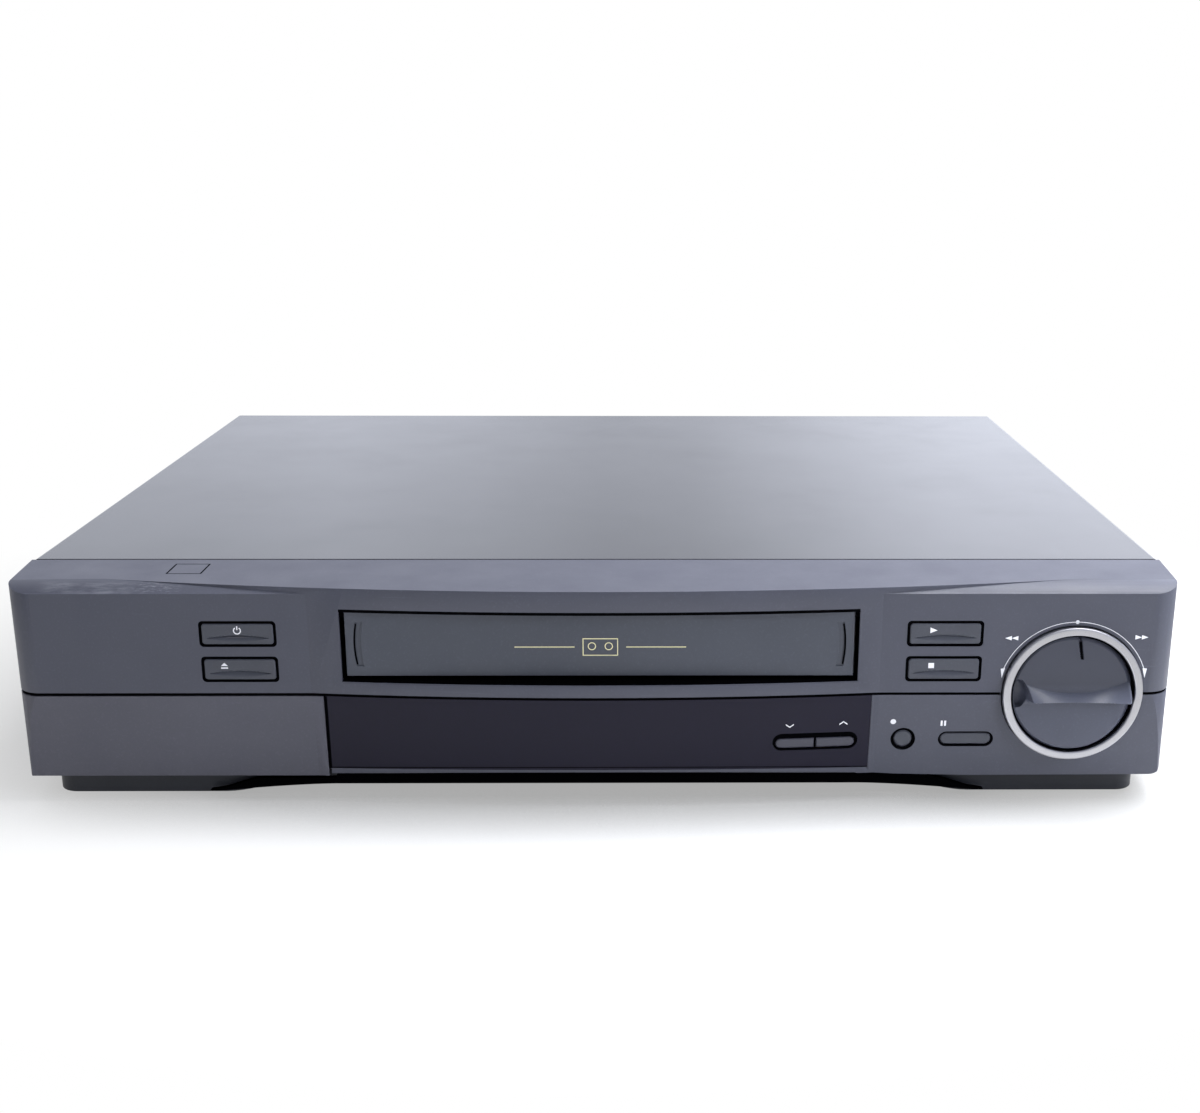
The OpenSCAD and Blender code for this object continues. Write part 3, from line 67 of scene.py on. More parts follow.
# Planes and sizes shared with the frame, in millimetres
FLAT_Y = -168.25          # flat ends of the front face
TOP_Z = 87.0
SPLIT_Z = 45.7            # groove round the front
PANEL_Z = 9.8             # lower edge of the front
LEAN = 4.5 / 35.9         # how far the lower front leans back, per mm of drop
SWELL_W, SWELL_H = 210.0, 5.5
SWELL_R = (SWELL_W ** 2 / 4 + SWELL_H ** 2) / (2 * SWELL_H)
CORNER_X, CORNER_R, BEZEL_D, FLARE = 205.0, 10.0, 37.0, 2.5
FLARE_A = math.acos(CORNER_R / math.hypot(BEZEL_D - CORNER_R, CORNER_R + FLARE)) - math.atan2(
    BEZEL_D - CORNER_R, CORNER_R + FLARE)
SEAM_Y = FLAT_Y + BEZEL_D                 # where the moulding meets the cover
HALF_W = CORNER_X + CORNER_R + FLARE      # half the width at the seam
DIAL_X, DIAL_Z = 176.7, 46.0
RING_IN, RING_OUT, KNOB_R = 22.9, 26.0, 22.1
DISC_Y = FLAT_Y - 1.0                     # rim of the dial's face
SLOT_X, SLOT_HALF, SLOT_FOOT, SLOT_TOP = 1.7, 95.0, 51.0, 79.1
FLAP_FACE_Y = FLAT_Y + 0.5
KEY_LEFT_X, KEY_RIGHT_X = -130.6, 128.4
KEY_UPPER_Z, KEY_LOWER_Z = 69.25, 55.55
KEY_FACE_Y = FLAT_Y - 0.3
KEY_W, KEY_H, KEY_HOLE_W, KEY_HOLE_H = 26.0, 7.8, 28.2, 10.0
SMALL_Z = 26.6                            # middle height of the small keys
RECORD_X, PAUSE_X, CHANNEL_X = 115.1, 138.7, 81.8
DOOR_END_X = -102.5                       # inner end of the fall-front door
WINDOW_X = (-100.0, 102.2)
SQUARE_X, SQUARE_Y, SQUARE_OUT, SQUARE_IN = -154.0, FLAT_Y + 24, 13.3, 12.0

# Camera found from the photograph, in its pixels, degrees and millimetres
PHOTO_W, PHOTO_H, FOCAL = 1200, 1113, 1493.36
AXIS_X, AXIS_Y = 665.75, 556.04
PITCH, YAW, ROLL = 16.022, 0.730, 0.204
EYE = (19.0, -685.91, 247.56)
SENSOR = 36.0

FLOOR_HALF = 6000.0                       # half the floor's width


# ---- sizes and colours that a user may change ----

def length_choice(name, text, default, low, high, precision):
    """A length property, its default and limits given in millimetres."""
    return FloatProperty(name=name, description=text, default=default * MM, min=low * MM,
                         max=high * MM, unit="LENGTH", precision=precision)


def colour_choice(name, text, default):
    return FloatVectorProperty(name=name, description=text, default=default, subtype="COLOR",
                               size=3, min=0, max=1)


class RecorderSizes(bpy.types.PropertyGroup):
    edge_round: length_choice(
        "Moulded edge radius", "Radius on the edges of the moulded pieces", 0.35, 0.05, 1.0, 5)
    print_height: length_choice(
        "Print height", "How far a printed mark stands off its surface", 0.04, 0.01, 0.1, 5)
    arc_radius: length_choice(
        "Dial arc radius", "Radius of the thin printed arc round the dial", 27.7, 27, 30, 4)
    grip_out: length_choice(
        "Dial grip height", "How far the dial's grip stands off its disc", 4.95, 4, 5.9, 4)


class RecorderColours(bpy.types.PropertyGroup):
    charcoal: colour_choice(
        "Front moulding", "Base colour of the front moulding", (0.060, 0.063, 0.086))
    # the door is a lighter copy of the moulding's colour: painted light, for the pale floor its
    # leaning face takes in
    door: colour_choice("Door", "Base colour of the fall-front door", (0.076, 0.076, 0.098))
    enamel: colour_choice(
        "Cover enamel", "Base colour of the painted steel cover", (0.012, 0.012, 0.014))
    window: colour_choice("Window", "Base colour of the smoked window", (0.007, 0.006, 0.017))
    marks: colour_choice("Printed marks", "Colour of the printed symbols", (0.8, 0.8, 0.84))
    gold: colour_choice("Gold mark", "Colour of the gold print on the flap", (0.82, 0.76, 0.44))


# ---- node helpers for the finishes ----

class Patterns:
    """Node shorthand for a tree whose patterns are read from one set of coordinates."""

    def __init__(self, tree, coords):
        self.tree = tree
        self.coords = coords

    def link(self, a, b):
        self.tree.links.new(a, b)

    def add(self, kind, inputs=None, **settings):
        """A new node with its settings; an input is given a value, or a socket to link from."""
        node = self.tree.nodes.new("ShaderNode" + kind)
        for name, value in settings.items():
            setattr(node, name, value)
        for key, value in (inputs or {}).items():
            if isinstance(value, bpy.types.NodeSocket):
                self.link(value, node.inputs[key])
            else:
                node.inputs[key].default_value = value
        return node

    def stretched(self, scale, turn=(0, 0, 0)):
        return self.add("Mapping", {"Scale": scale, "Rotation": turn,
                                    "Vector": self.coords}).outputs["Vector"]

    def noise(self, size, detail=2.0, roughness=0.5, vector=None):
        """Noise whose patches are about size across, in the coordinates' own unit."""
        return self.add("TexNoise", {"Scale": 1.0 / size, "Detail": detail, "Roughness": roughness,
                                     "Vector": vector or self.coords}).outputs["Fac"]

    def spread(self, value, low, high, to_low=0.0, to_high=1.0):
        return self.add("MapRange", {"From Min": low, "From Max": high, "To Min": to_low,
                                     "To Max": to_high, "Value": value}).outputs["Result"]

    def maths(self, operation, a, b):
        return self.add("Math", {0: a, 1: b}, operation=operation).outputs["Value"]

    def place(self, axis):
        return self.add("SeparateXYZ", {"Vector": self.coords}).outputs[axis]

    def background(self, colour, strength):
        return self.add("Background", {"Color": (*colour, 1), "Strength": strength}).outputs[0]

    def either(self, amount, first, second):
        """The first shader where amount is 0, the second where it is 1."""
        return self.add("MixShader", {"Fac": amount, 1: first, 2: second}).outputs["Shader"]


class Finish(Patterns):
    """A material: one Principled shader with patterns read from Object coordinates."""

    def __init__(self, name, colour, roughness, metallic=0.0, coat=0.0, coat_rough=0.1,
                 specular=0.5):
        self.material = bpy.data.materials.new(name)
        self.material.use_nodes = True
        tree = self.material.node_tree
        super().__init__(tree, tree.nodes.new("ShaderNodeTexCoord").outputs["Object"])
        self.shader = tree.nodes["Principled BSDF"]
        self.colour = (*colour, 1.0)
        for socket, value in [("Base Color", self.colour), ("Roughness", roughness),
                              ("Metallic", metallic), ("Coat Weight", coat),
                              ("Coat Roughness", coat_rough), ("Specular IOR Level", specular)]:
            self.shader.inputs[socket].default_value = value

    def tint(self, amount, other):
        """Mixes the present base colour with another where amount says so."""
        base = self.shader.inputs["Base Color"]
        present = base.links[0].from_socket if base.links else self.colour
        mix = self.add("Mix", {"A": present, "B": (*other, 1.0), "Factor": amount},
                       data_type="RGBA")
        self.link(mix.outputs["Result"], base)

    def vary_roughness(self, amount, low, high):
        self.link(self.spread(amount, 0.3, 0.7, low, high), self.shader.inputs["Roughness"])

    def bump(self, height, strength, distance):
        node = self.add("Bump", {"Strength": strength, "Distance": distance, "Height": height})
        self.link(node.outputs["Normal"], self.shader.inputs["Normal"])


def shade(colour, gain, lift=0.0):
    """A colour made lighter or darker."""
    return tuple(c * gain + lift for c in colour)


def moulded(name, colour, roughness, grain, tone, wear=0.0, sheen=0.44):
    """Fine-textured moulded plastic: spark-eroded grain, slow tone drift and light scuffs.

    The tone drifts over 60 mm, with specks of 0.9 mm; the grain is 0.45 mm wide.
    """
    f = Finish(name, colour, roughness, specular=sheen)
    f.tint(f.spread(f.noise(0.06, 3.0), 0.35, 0.75, 0.0, tone * 2), shade(colour, 1.35, 0.004))
    f.tint(f.spread(f.noise(0.0009, 2.0), 0.55, 0.75, 0.0, 0.22), shade(colour, 1.7))
    f.vary_roughness(f.noise(0.02, 4.0), roughness - 0.05 * grain, roughness + 0.08 * grain)
    if wear:
        scuffs = f.noise(1.0, 5.0, 0.62, f.stretched((14, 60, 420), (0.2, 0.1, 0.5)))
        f.tint(f.spread(scuffs, 0.66, 0.74, 0.0, wear), shade(colour, 2.4, 0.02))
    f.bump(f.noise(0.00045, 2.0, 0.6), 0.35 * grain, 0.00008)
    return f


def wear_top_edge(f):
    """Pale wear on the moulding's top edge: large soft spots at the left, fine ones beside them."""
    x, z = f.place("X"), f.place("Z")
    # limits in X, lower limit in Z, size of the spots, where they start and how pale they get
    for left, right, low, size, cut, most in ((-0.204, -0.171, 0.0843, 0.006, 0.42, 0.22),
                                              (-0.170, -0.154, 0.0846, 0.0015, 0.5, 0.4)):
        inside = f.spread(x, left, left + 0.006)
        for limit in (f.spread(x, right, right + 0.004, 1.0, 0.0), f.spread(z, low, low + 0.0006),
                      f.spread(z, 0.0866, 0.08695, 1.0, 0.0)):
            inside = f.maths("MULTIPLY", inside, limit)
        spots = f.noise(1.0, 4.0, 0.6, f.stretched((0.6 / size, 2.2 / size, 1.2 / size)))
        f.tint(f.maths("MULTIPLY", inside, f.spread(spots, cut, cut + 0.2, 0.0, most)),
               (0.36, 0.37, 0.42))


def enamel(name, colour, roughness=0.16):
    """Smooth baked paint on sheet steel: slight orange peel, dust and fine rub marks."""
    f = Finish(name, colour, roughness, coat=0.35, coat_rough=0.06)
    f.vary_roughness(f.noise(0.05, 5.0, 0.6), roughness - 0.02, roughness + 0.07)
    f.tint(f.spread(f.noise(0.0012, 2.0, 0.7), 0.68, 0.8, 0.0, 0.25), (0.2, 0.2, 0.22))
    rub = f.noise(1.0, 4.0, 0.6, f.stretched((160, 22, 60), (0, 0, 0.35)))
    f.tint(f.spread(rub, 0.62, 0.8, 0.0, 0.12), (0.16, 0.16, 0.17))
    f.bump(f.noise(0.0035, 1.0), 0.05, 0.00005)
    return f


def metal(name, colour, roughness=0.3, brush=(1, 1, 30), tone=0.25, brush_size=0.01):
    """Bare or plated metal with directional brushing and faint staining."""
    f = Finish(name, colour, roughness, metallic=1.0)
    streaks = f.noise(brush_size, 3.0, 0.6, f.stretched(brush))
    f.vary_roughness(streaks, roughness - 0.08, roughness + 0.1)
    f.tint(f.spread(f.noise(0.03, 4.0), 0.45, 0.8, 0.0, tone), shade(colour, 0.62))
    f.bump(streaks, 0.08, 0.00004)
    return f


def rubbery(name, colour, roughness=0.75):
    """Matt rubber with moulding grain and a pale bloom."""
    f = Finish(name, colour, roughness, specular=0.3)
    f.tint(f.spread(f.noise(0.008, 4.0), 0.5, 0.8, 0.0, 0.35), (0.07, 0.07, 0.07))
    f.vary_roughness(f.noise(0.004, 2.0), roughness - 0.1, roughness + 0.1)
    f.bump(f.noise(0.0006, 2.0), 0.3, 0.0001)
    return f


def laminate(name, colour, trace):
    """Circuit board: lacquered laminate with copper tracks seen through it."""
    f = Finish(name, colour, 0.35)
    bricks = f.add("TexBrick", {"Scale": 110.0, "Mortar Size": 0.028, "Brick Width": 0.9,
                                "Row Height": 0.28, "Vector": f.coords})
    tracks = f.maths("MULTIPLY", bricks.outputs["Fac"], f.spread(f.noise(0.012, 2.0), 0.45, 0.5))
    f.tint(tracks, trace)
    f.vary_roughness(f.noise(0.02, 3.0), 0.28, 0.45)
    f.bump(tracks, 0.2, 0.00006)
    return f


def plated_glass(name, colour):
    """Dark glass of the display tube with faint dark bands behind it."""
    f = Finish(name, colour, 0.08, specular=0.6, coat=0.5)
    f.tint(f.spread(f.noise(0.006, 1.0, 0.4, f.stretched((1, 6, 0.4))), 0.45, 0.6, 0.0, 0.6),
           (0.02, 0.03, 0.03))
    f.vary_roughness(f.noise(0.02, 2.0), 0.05, 0.12)
    return f


def printed(name, colour):
    """Screen-printed ink with a slightly uneven edge and cover."""
    f = Finish(name, colour, 0.5)
    f.tint(f.spread(f.noise(0.0006, 3.0), 0.5, 0.7, 0.0, 0.3), shade(colour, 0.7))
    f.bump(f.noise(0.0004, 2.0), 0.15, 0.00003)
    return f


def unlit(name, colour):
    """Painted shade: the black that stands for the shade deep in a gap, with next to no sheen and a
    trace of dust.
    """
    f = Finish(name, colour, 0.9, specular=0.0)
    f.tint(f.spread(f.noise(0.002, 2.0), 0.6, 0.8, 0.0, 0.3), (0.004, 0.004, 0.005))
    return f


def make_finishes():
    """Every finish by its name; a name that is a slot of the record serves that slot."""
    c = bpy.context.scene.recorder_colours
    white = (0.62, 0.61, 0.57)
    looks = {
        # roughness, grain, tone drift, wear, sheen
        "charcoal": (moulded, c.charcoal, 0.46, 0.8, 0.08, 0.25),
        # door: the moulding's colour made lighter, as painted light from the pale floor
        "door_grey": (moulded, c.door, 0.5, 0.9, 0.1, 0.1),
        "flap_grey": (moulded, (0.055, 0.061, 0.08), 0.45, 0.7, 0.12),
        "key_grey": (moulded, (0.05, 0.054, 0.07), 0.42, 0.6, 0.1),
        # knob: a little lighter than its plastic, as painted light on the face below the grip
        "knob_grey": (moulded, (0.062, 0.067, 0.094), 0.32, 0.3, 0.12),
        "smoked": (moulded, c.window, 0.3, 0.25, 0.02, 0.0, 0.2),
        "black_plastic": (moulded, (0.011, 0.013, 0.02), 0.45, 0.8, 0.2),
        "rear_black": (moulded, (0.02, 0.02, 0.022), 0.5, 1.0, 0.2),
        "switch_black": (moulded, (0.016, 0.016, 0.016), 0.35, 0.5, 0.2),
        "white_plastic": (moulded, white, 0.4, 0.4, 0.1),
        "cable_grey": (moulded, (0.5, 0.5, 0.47), 0.5, 0.5, 0.2),
        "sleeve_blue": (moulded, (0.03, 0.045, 0.16), 0.25, 0.3, 0.3),
        "black_paint": (enamel, c.enamel),
        # roughness, direction of the brushing, staining, size of the brushing
        "screw_black": (metal, (0.06, 0.06, 0.065), 0.3),
        "silver": (metal, (0.52, 0.52, 0.55), 0.34, (60, 1, 60), 0.12, 0.02),
        "zinc_steel": (metal, (0.56, 0.57, 0.58), 0.34, (1, 12, 1)),
        "bare_steel": (metal, (0.55, 0.55, 0.57), 0.25, (1, 1, 40)),
        "machined_aluminium": (metal, (0.75, 0.75, 0.77), 0.24, (1, 1, 90)),
        "sintered_brass": (metal, (0.58, 0.46, 0.24), 0.35, (1, 1, 60)),
        "tin_can": (metal, (0.6, 0.6, 0.6), 0.38, (1, 10, 1), 0.4),
        "core_steel": (metal, (0.14, 0.13, 0.12), 0.5, (1, 240, 1), 0.4),
        "rubber": (rubbery, (0.018, 0.018, 0.018)),
        "board_brown": (laminate, (0.22, 0.12, 0.04), (0.36, 0.2, 0.07)),
        "board_green": (laminate, (0.02, 0.09, 0.035), (0.06, 0.2, 0.07)),
        "tube_glass": (plated_glass, (0.05, 0.09, 0.08)),
        # painted shade for the gaps
        "gap_black": (unlit, (0.0015, 0.0015, 0.002)),
        "insert_yellow": (moulded, (0.75, 0.5, 0.03), 0.4, 0.4, 0.1),
        "insert_white": (moulded, white, 0.4, 0.4, 0.1),
        "insert_red": (moulded, (0.55, 0.03, 0.025), 0.4, 0.4, 0.1),
        "key_smoked": (moulded, (0.045, 0.045, 0.062), 0.3, 0.4, 0.05),
        "printed_white": (printed, c.marks),
        "printed_gold": (printed, c.gold),
    }
    made = {name: maker(name, *values) for name, (maker, *values) in looks.items()}
    wear_top_edge(made["charcoal"])
    # painted shade: the dial's face is darker above its grip
    knob = made["knob_grey"]
    knob.tint(knob.spread(knob.place("Z"), 0.046, 0.05, 0.0, 0.85), (0.037, 0.04, 0.057))
    return {name: f.material for name, f in made.items()}


FINISHES = {}


def finish(name):
    """A finish by its name; all of them are made when the first is asked for."""
    if not FINISHES:
        FINISHES.update(make_finishes())
    return FINISHES[name]


# ---- surface helpers: each gives points and faces, or an outline of (x, z) ----

def lay_grid(points, close_u=False, close_v=False, ends=False):
    """Quads over a grid of points: each cell joins point (i, j) to its three neighbours.

    With ends, the first and the last row of the grid are closed by a face each.
    """
    nu, nv = points.shape[:2]
    i = np.arange(nu if close_u else nu - 1)
    j = np.arange(nv if close_v else nv - 1)
    i, j = np.meshgrid(i, j, indexing="ij")
    corners = [(i + di) % nu * nv + (j + dj) % nv for di, dj in ((0, 0), (1, 0), (1, 1), (0, 1))]
    faces = np.stack(corners, -1).reshape(-1, 4).tolist()
    if ends:
        last = nu * nv - 1
        faces += [list(range(nv)), list(range(last, last - nv, -1))]
    return points.reshape(-1, 3), faces


def loft(section, ring=False, ends=False):
    """A bar with the given section, whose corners are (x, y, z) with arrays that run along it."""
    rows = [np.stack(np.broadcast_arrays(*corner), -1) for corner in section]
    return lay_grid(np.stack(rows, 1), ring, True, ends)


def new_mesh(name, points, faces):
    """A mesh from points in millimetres."""
    mesh = bpy.data.meshes.new(name)
    mesh.from_pydata((points * MM).tolist(), [], faces)
    return mesh


def new_object(name, data):
    obj = bpy.data.objects.new(name, data)
    bpy.context.scene.collection.objects.link(obj)
    return obj


def dress(mesh, finish_name):
    """Gives a mesh one finish, in place of what it has."""
    mesh.materials.clear()
    mesh.materials.append(finish(finish_name))


def shade_smooth(mesh, degrees):
    mesh.shade_smooth()
    mesh.set_sharp_from_angle(angle=math.radians(degrees))


def new_piece(name, parts, finish_name, body, smooth=True, replaces=(),
              shade_angle=35):
    """Joins parts of (points in mm, faces) into one mesh object that rides on a body."""
    faces, base = [], 0
    for v, f in parts:
        faces += [[base + i for i in face] for face in f]
        base += len(v)
    mesh = new_mesh(name, np.concatenate([v for v, f in parts]), faces)
    mesh.validate()
    mesh.update()
    piece = new_object(name, mesh)
    dress(mesh, finish_name)
    if smooth:
        shade_smooth(mesh, shade_angle)
    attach(piece, body)
    if replaces:
        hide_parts(*replaces)
    return piece


def turned(profile, x, z, steps=128):
    """A profile of (radius, y) turned round a line along Y: (x + r cos a, y, z + r sin a)."""
    r, y = np.asarray(profile, float).T
    a = np.linspace(0, 2 * np.pi, steps, endpoint=False)
    out, up = np.outer(np.cos(a), r), np.outer(np.sin(a), r)
    return lay_grid(np.stack([x + out, np.broadcast_to(y, out.shape), z + up], -1), close_u=True)


def rod(x, z, r, y0, y1, steps):
    """A round stem along Y."""
    return turned([(0.01, y0), (r, y0), (r, y1), (0.01, y1)], x, z, steps)


def slab(x0, x1, y0, y1, z0, z1):
    """A plain box from its limits."""
    v = np.array([(x, y, z) for x in (x0, x1) for y in (y0, y1) for z in (z0, z1)], float)
    return v, [(0, 1, 3, 2), (4, 6, 7, 5), (0, 4, 5, 1), (2, 3, 7, 6), (0, 2, 6, 4), (1, 5, 7, 3)]


def swell(x):
    """How far the front stands out at x: a wide arc of radius SWELL_R, nil past the flat ends."""
    return np.maximum(SWELL_H - SWELL_R + np.sqrt(SWELL_R ** 2 - np.square(x)), 0.0)


def front_y(x, z):
    """The front face's place in Y: flat ends less the swell, plus the lean below the groove."""
    lean = np.where(np.asarray(z) < SPLIT_Z, (SPLIT_Z - np.asarray(z)) * LEAN, 0.0)
    return FLAT_Y - swell(np.asarray(x, float)) + lean


def front_at(offset):
    """The front face as a surface y(x, z), moved back by an offset."""
    return lambda x, z: front_y(x, z) + offset


def level(y):
    """A flat surface y(x, z) = y."""
    return lambda x, z: np.full_like(np.asarray(x, float), y)


def print_patch(outline, surface, height):
    """A mark as a thin closed slab: its outline (x, z) laid on a surface, lifted by height."""
    outline = np.asarray(outline, float)
    x, z = outline.T
    if np.sum(x * np.roll(z, -1) - np.roll(x, -1) * z) < 0:
        outline = outline[::-1]
    x, z = outline.T
    n = len(outline)
    y = surface(x, z)
    points = np.concatenate([np.stack([x, y - height, z], -1), np.stack([x, y + 0.02, z], -1)])
    faces = [list(range(n)), list(range(2 * n - 1, n - 1, -1))]
    return points, faces + [[(i + 1) % n, i, n + i, n + (i + 1) % n] for i in range(n)]


def circle(x, z, r, a):
    """Points (x, z) on a circle at the angles a."""
    return np.stack([x + r * np.cos(a), z + r * np.sin(a)], -1)


def disc_outline(x, z, r):
    return circle(x, z, r, np.linspace(0, 2 * np.pi, 32, endpoint=False))


def bar_outline(x, z, w, h):
    return [(x - w / 2, z - h / 2), (x + w / 2, z - h / 2), (x + w / 2, z + h / 2),
            (x - w / 2, z + h / 2)]


def arrow_outline(x, z, w, h, way=1):
    return [(x - way * w / 2, z - h / 2), (x + way * w / 2, z), (x - way * w / 2, z + h / 2)]


def chevron_outline(x, z, w, h, t, way=1):
    """A bent line: down and up again, of stroke t."""
    return [(x - w / 2, z + way * h / 2), (x, z - way * h / 2), (x + w / 2, z + way * h / 2),
            (x + w / 2, z + way * (h / 2 - t)), (x, z - way * (h / 2 + t)),
            (x - w / 2, z + way * (h / 2 - t))]


def arc_outline(x, z, r, t, start, end, steps):
    """A band of width t along an arc, from one angle to another, in degrees from +X."""
    a = np.radians(np.linspace(start, end, steps + 1))
    return np.concatenate([circle(x, z, r + t / 2, a), circle(x, z, r - t / 2, a)[::-1]])


def rounded_outline(x, z, w, h, r):
    """A rectangle with rounded corners, from its lower right corner round, as equal steps."""
    parts = []
    for cx, cz, start in ((w / 2 - r, r - h / 2, -90), (w / 2 - r, h / 2 - r, 0),
                          (r - w / 2, h / 2 - r, 90), (r - w / 2, r - h / 2, 180)):
        parts.append(circle(cx, cz, r, np.radians(np.linspace(start, start + 90, 11))))
    loop = np.concatenate([*parts, parts[0][:1]])
    run = np.concatenate([[0], np.cumsum(np.linalg.norm(np.diff(loop, axis=0), axis=1))])
    at = np.linspace(0, run[-1], 240, endpoint=False)
    return np.stack([x + np.interp(at, run, loop[:, 0]), z + np.interp(at, run, loop[:, 1])], -1)


def sunk_ring(outer, inner, surface, depth, thick=0.3):
    """A flat ring between two outlines (x, z), sunk by a depth below the surface y(x, z)."""
    return loft([(line[:, 0], surface(line[:, 0], line[:, 1]) + depth + extra, line[:, 1])
                 for line, extra in ((outer, 0), (inner, 0), (inner, thick), (outer, thick))],
                ring=True)


def square_ring(z0, z1):
    """The inset square's groove: a flat ring of four corners, each a closed section."""
    turn = np.radians([45, 135, 225, 315])
    return loft([(SQUARE_X + np.cos(turn) * w / math.sqrt(2),
                  SQUARE_Y + np.sin(turn) * w / math.sqrt(2), z)
                 for w, z in ((SQUARE_OUT, z0), (SQUARE_OUT, z1), (SQUARE_IN, z1),
                              (SQUARE_IN, z0))], ring=True)


def seam_band(out, inn, y0, y1):
    """A band over the top and down both sides, between two insets of the front's end outline."""
    r, low, section = 1.6, SPLIT_Z + 1, []
    a = np.radians(np.linspace(0, 90, 9))
    for inset, y in ((out, y0), (out, y1), (inn, y1), (inn, y0)):
        half, top = HALF_W - inset, TOP_Z - inset
        right = circle(half - r, top - r, r, a)
        loop = np.concatenate([[[half, low]], right, (right * [-1, 1])[::-1], [[-half, low]]])
        section.append((loop[:, 0], y, loop[:, 1]))
    return loft(section, ends=True)


def front_path(inset):
    """Plan of the front from seam to seam: flared side, corner arc, flat, swell and back again."""
    r = CORNER_R - inset
    a = np.linspace(np.pi / 2, -FLARE_A, 20)
    reach = BEZEL_D - CORNER_R
    seam = [CORNER_X + (r + reach * math.sin(FLARE_A)) / math.cos(FLARE_A), SEAM_Y]
    arc = np.stack([CORNER_X + r * np.cos(a), FLAT_Y + CORNER_R - r * np.sin(a)], -1)
    x = np.linspace(-CORNER_X, CORNER_X, 165)[1:-1]
    middle = np.stack([x, FLAT_Y - swell(x) + inset], -1)
    right = np.concatenate([arc, [seam]])
    left = (right * [-1, 1])[::-1]
    return np.concatenate([left, middle, right])


def low_edge(x):
    """Height of the front's lower edge: a little higher below the window than at its ends."""
    return np.interp(x, [-100.3, 104, 112, 140, 222], [12.2, 12.2, 11.7, 11.0, 11.25])


def corner_cutter(way, r=3.0, low=PANEL_Z):
    """A wedge that rounds the front's lower outer edge: the corner square less its circle.

    It runs back with the flared side, x = half + FLARE (y - y0) / run.
    """
    a = np.radians(np.linspace(270, 360, 9))
    loop = np.concatenate([[[-r, -2.0], [2.0, -2.0], [2.0, r]], circle(-r, r, r, a)[::-1]])
    rows = []
    for y in (FLAT_Y - 2, SEAM_Y + 3):
        half = CORNER_X + CORNER_R + FLARE * (y - FLAT_Y - CORNER_R) / (BEZEL_D - CORNER_R) + 0.05
        rows.append(np.stack([way * (half + loop[:, 0]), np.full(len(loop), y),
                              low + loop[:, 1]], -1))
    v, f = lay_grid(np.stack(rows, 0), close_v=True)
    n = len(loop)
    return v, f + [list(range(n))[::-1], list(range(n, 2 * n))]


# ---- softened twins of the frame's moulded nodes ----

def cutter_object(v, f):
    """A closed mesh with its normals outward, for a Boolean modifier."""
    mesh = new_mesh("cutter", v, f)
    outward = bmesh.new()
    outward.from_mesh(mesh)
    bmesh.ops.recalc_face_normals(outward, faces=outward.faces)
    outward.to_mesh(mesh)
    outward.free()
    return new_object("cutter", mesh)


def soften(node, radius, cuts=()):
    """A trimmed copy of a CAD node with small rounds on its sharp edges, which stands for it.

    With no radius the copy is only trimmed, and shaded smooth over its shallow edges.
    """
    piece = new_object(node + "_moulded", frame["nodes"][node].data.copy())

    def modify(name, kind, **settings):
        modifier = piece.modifiers.new(name, kind)
        for key, value in settings.items():
            setattr(modifier, key, value)

    modify("weld", "WELD", merge_threshold=0.002 * MM)
    cutters = [cutter_object(*part) for part in cuts]
    for cutter in cutters:
        modify("cut", "BOOLEAN", operation="DIFFERENCE", solver="EXACT", object=cutter)
    if radius:
        modify("flat faces", "DECIMATE", decimate_type="DISSOLVE", angle_limit=math.radians(0.6))
        modify("edge round", "BEVEL", width=radius, segments=2, limit_method="ANGLE",
               angle_limit=math.radians(32), use_clamp_overlap=True, harden_normals=True)
    deps = bpy.context.evaluated_depsgraph_get()
    done = bpy.data.meshes.new_from_object(piece.evaluated_get(deps))
    piece.modifiers.clear()
    piece.data = done
    if not radius:
        if "custom_normal" in done.attributes:
            done.attributes.remove(done.attributes["custom_normal"])
        shade_smooth(done, 30)
    dress(done, SLOT_OF[node])
    for cutter in cutters:
        bpy.data.objects.remove(cutter)
    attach(piece, BODY_OF[node])
    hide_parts(node)
    return piece


def reshape(piece, change):
    """Hands a piece's points to change as rows of (x, y, z) in metres, to alter in place."""
    co = np.empty(len(piece.data.vertices) * 3)
    piece.data.vertices.foreach_get("co", co)
    change(co.reshape(-1, 3))
    piece.data.vertices.foreach_set("co", co)


def reach_to_window(co):
    """Moves the door's inner end out to the window, 0.6 mm more at the top than at the bottom."""
    x, y, z = co.T / MM
    near = (np.abs(x - DOOR_END_X) < 0.6) & (
        y < FLAT_Y + np.maximum(SPLIT_Z - z, 0) * LEAN + 2.4)
    co[:, 0] += near * (1.2 + 0.6 * (z - PANEL_Z) / (SPLIT_Z - PANEL_Z)) * MM


def widen(co):
    """Stretches the plinth across, so that its feet end where the photograph has them."""
    co[:, 0] *= 1.006


def front_sheet(name, x, low, high, depth, thick, look):
    """A smooth sheet on the front between two heights z(x), sunk by depth."""
    z = low[:, None] + (high - low)[:, None] * np.linspace(0, 1, 24)
    across = np.broadcast_to(x[:, None], z.shape)
    face = np.stack([across, front_y(across, z) + depth, z], -1)
    grid = np.concatenate([face, (face + [0, thick, 0])[:, ::-1]], 1)
    new_piece(name, [lay_grid(grid, close_v=True, ends=True)], look, "case", shade_angle=30)


# ---- keys ----

def eased(n):
    """n places from -1 to 1 that lie closer together at both ends: sin(pi t / 2)."""
    return np.sin(np.pi / 2 * np.linspace(-1, 1, n))


def roll_off(inside, e):
    """How far a face drops within e of its outline: e - sqrt(e^2 - (e - d)^2), d the way in."""
    return e - np.sqrt(e ** 2 - (e - np.clip(inside, 0, e)) ** 2)


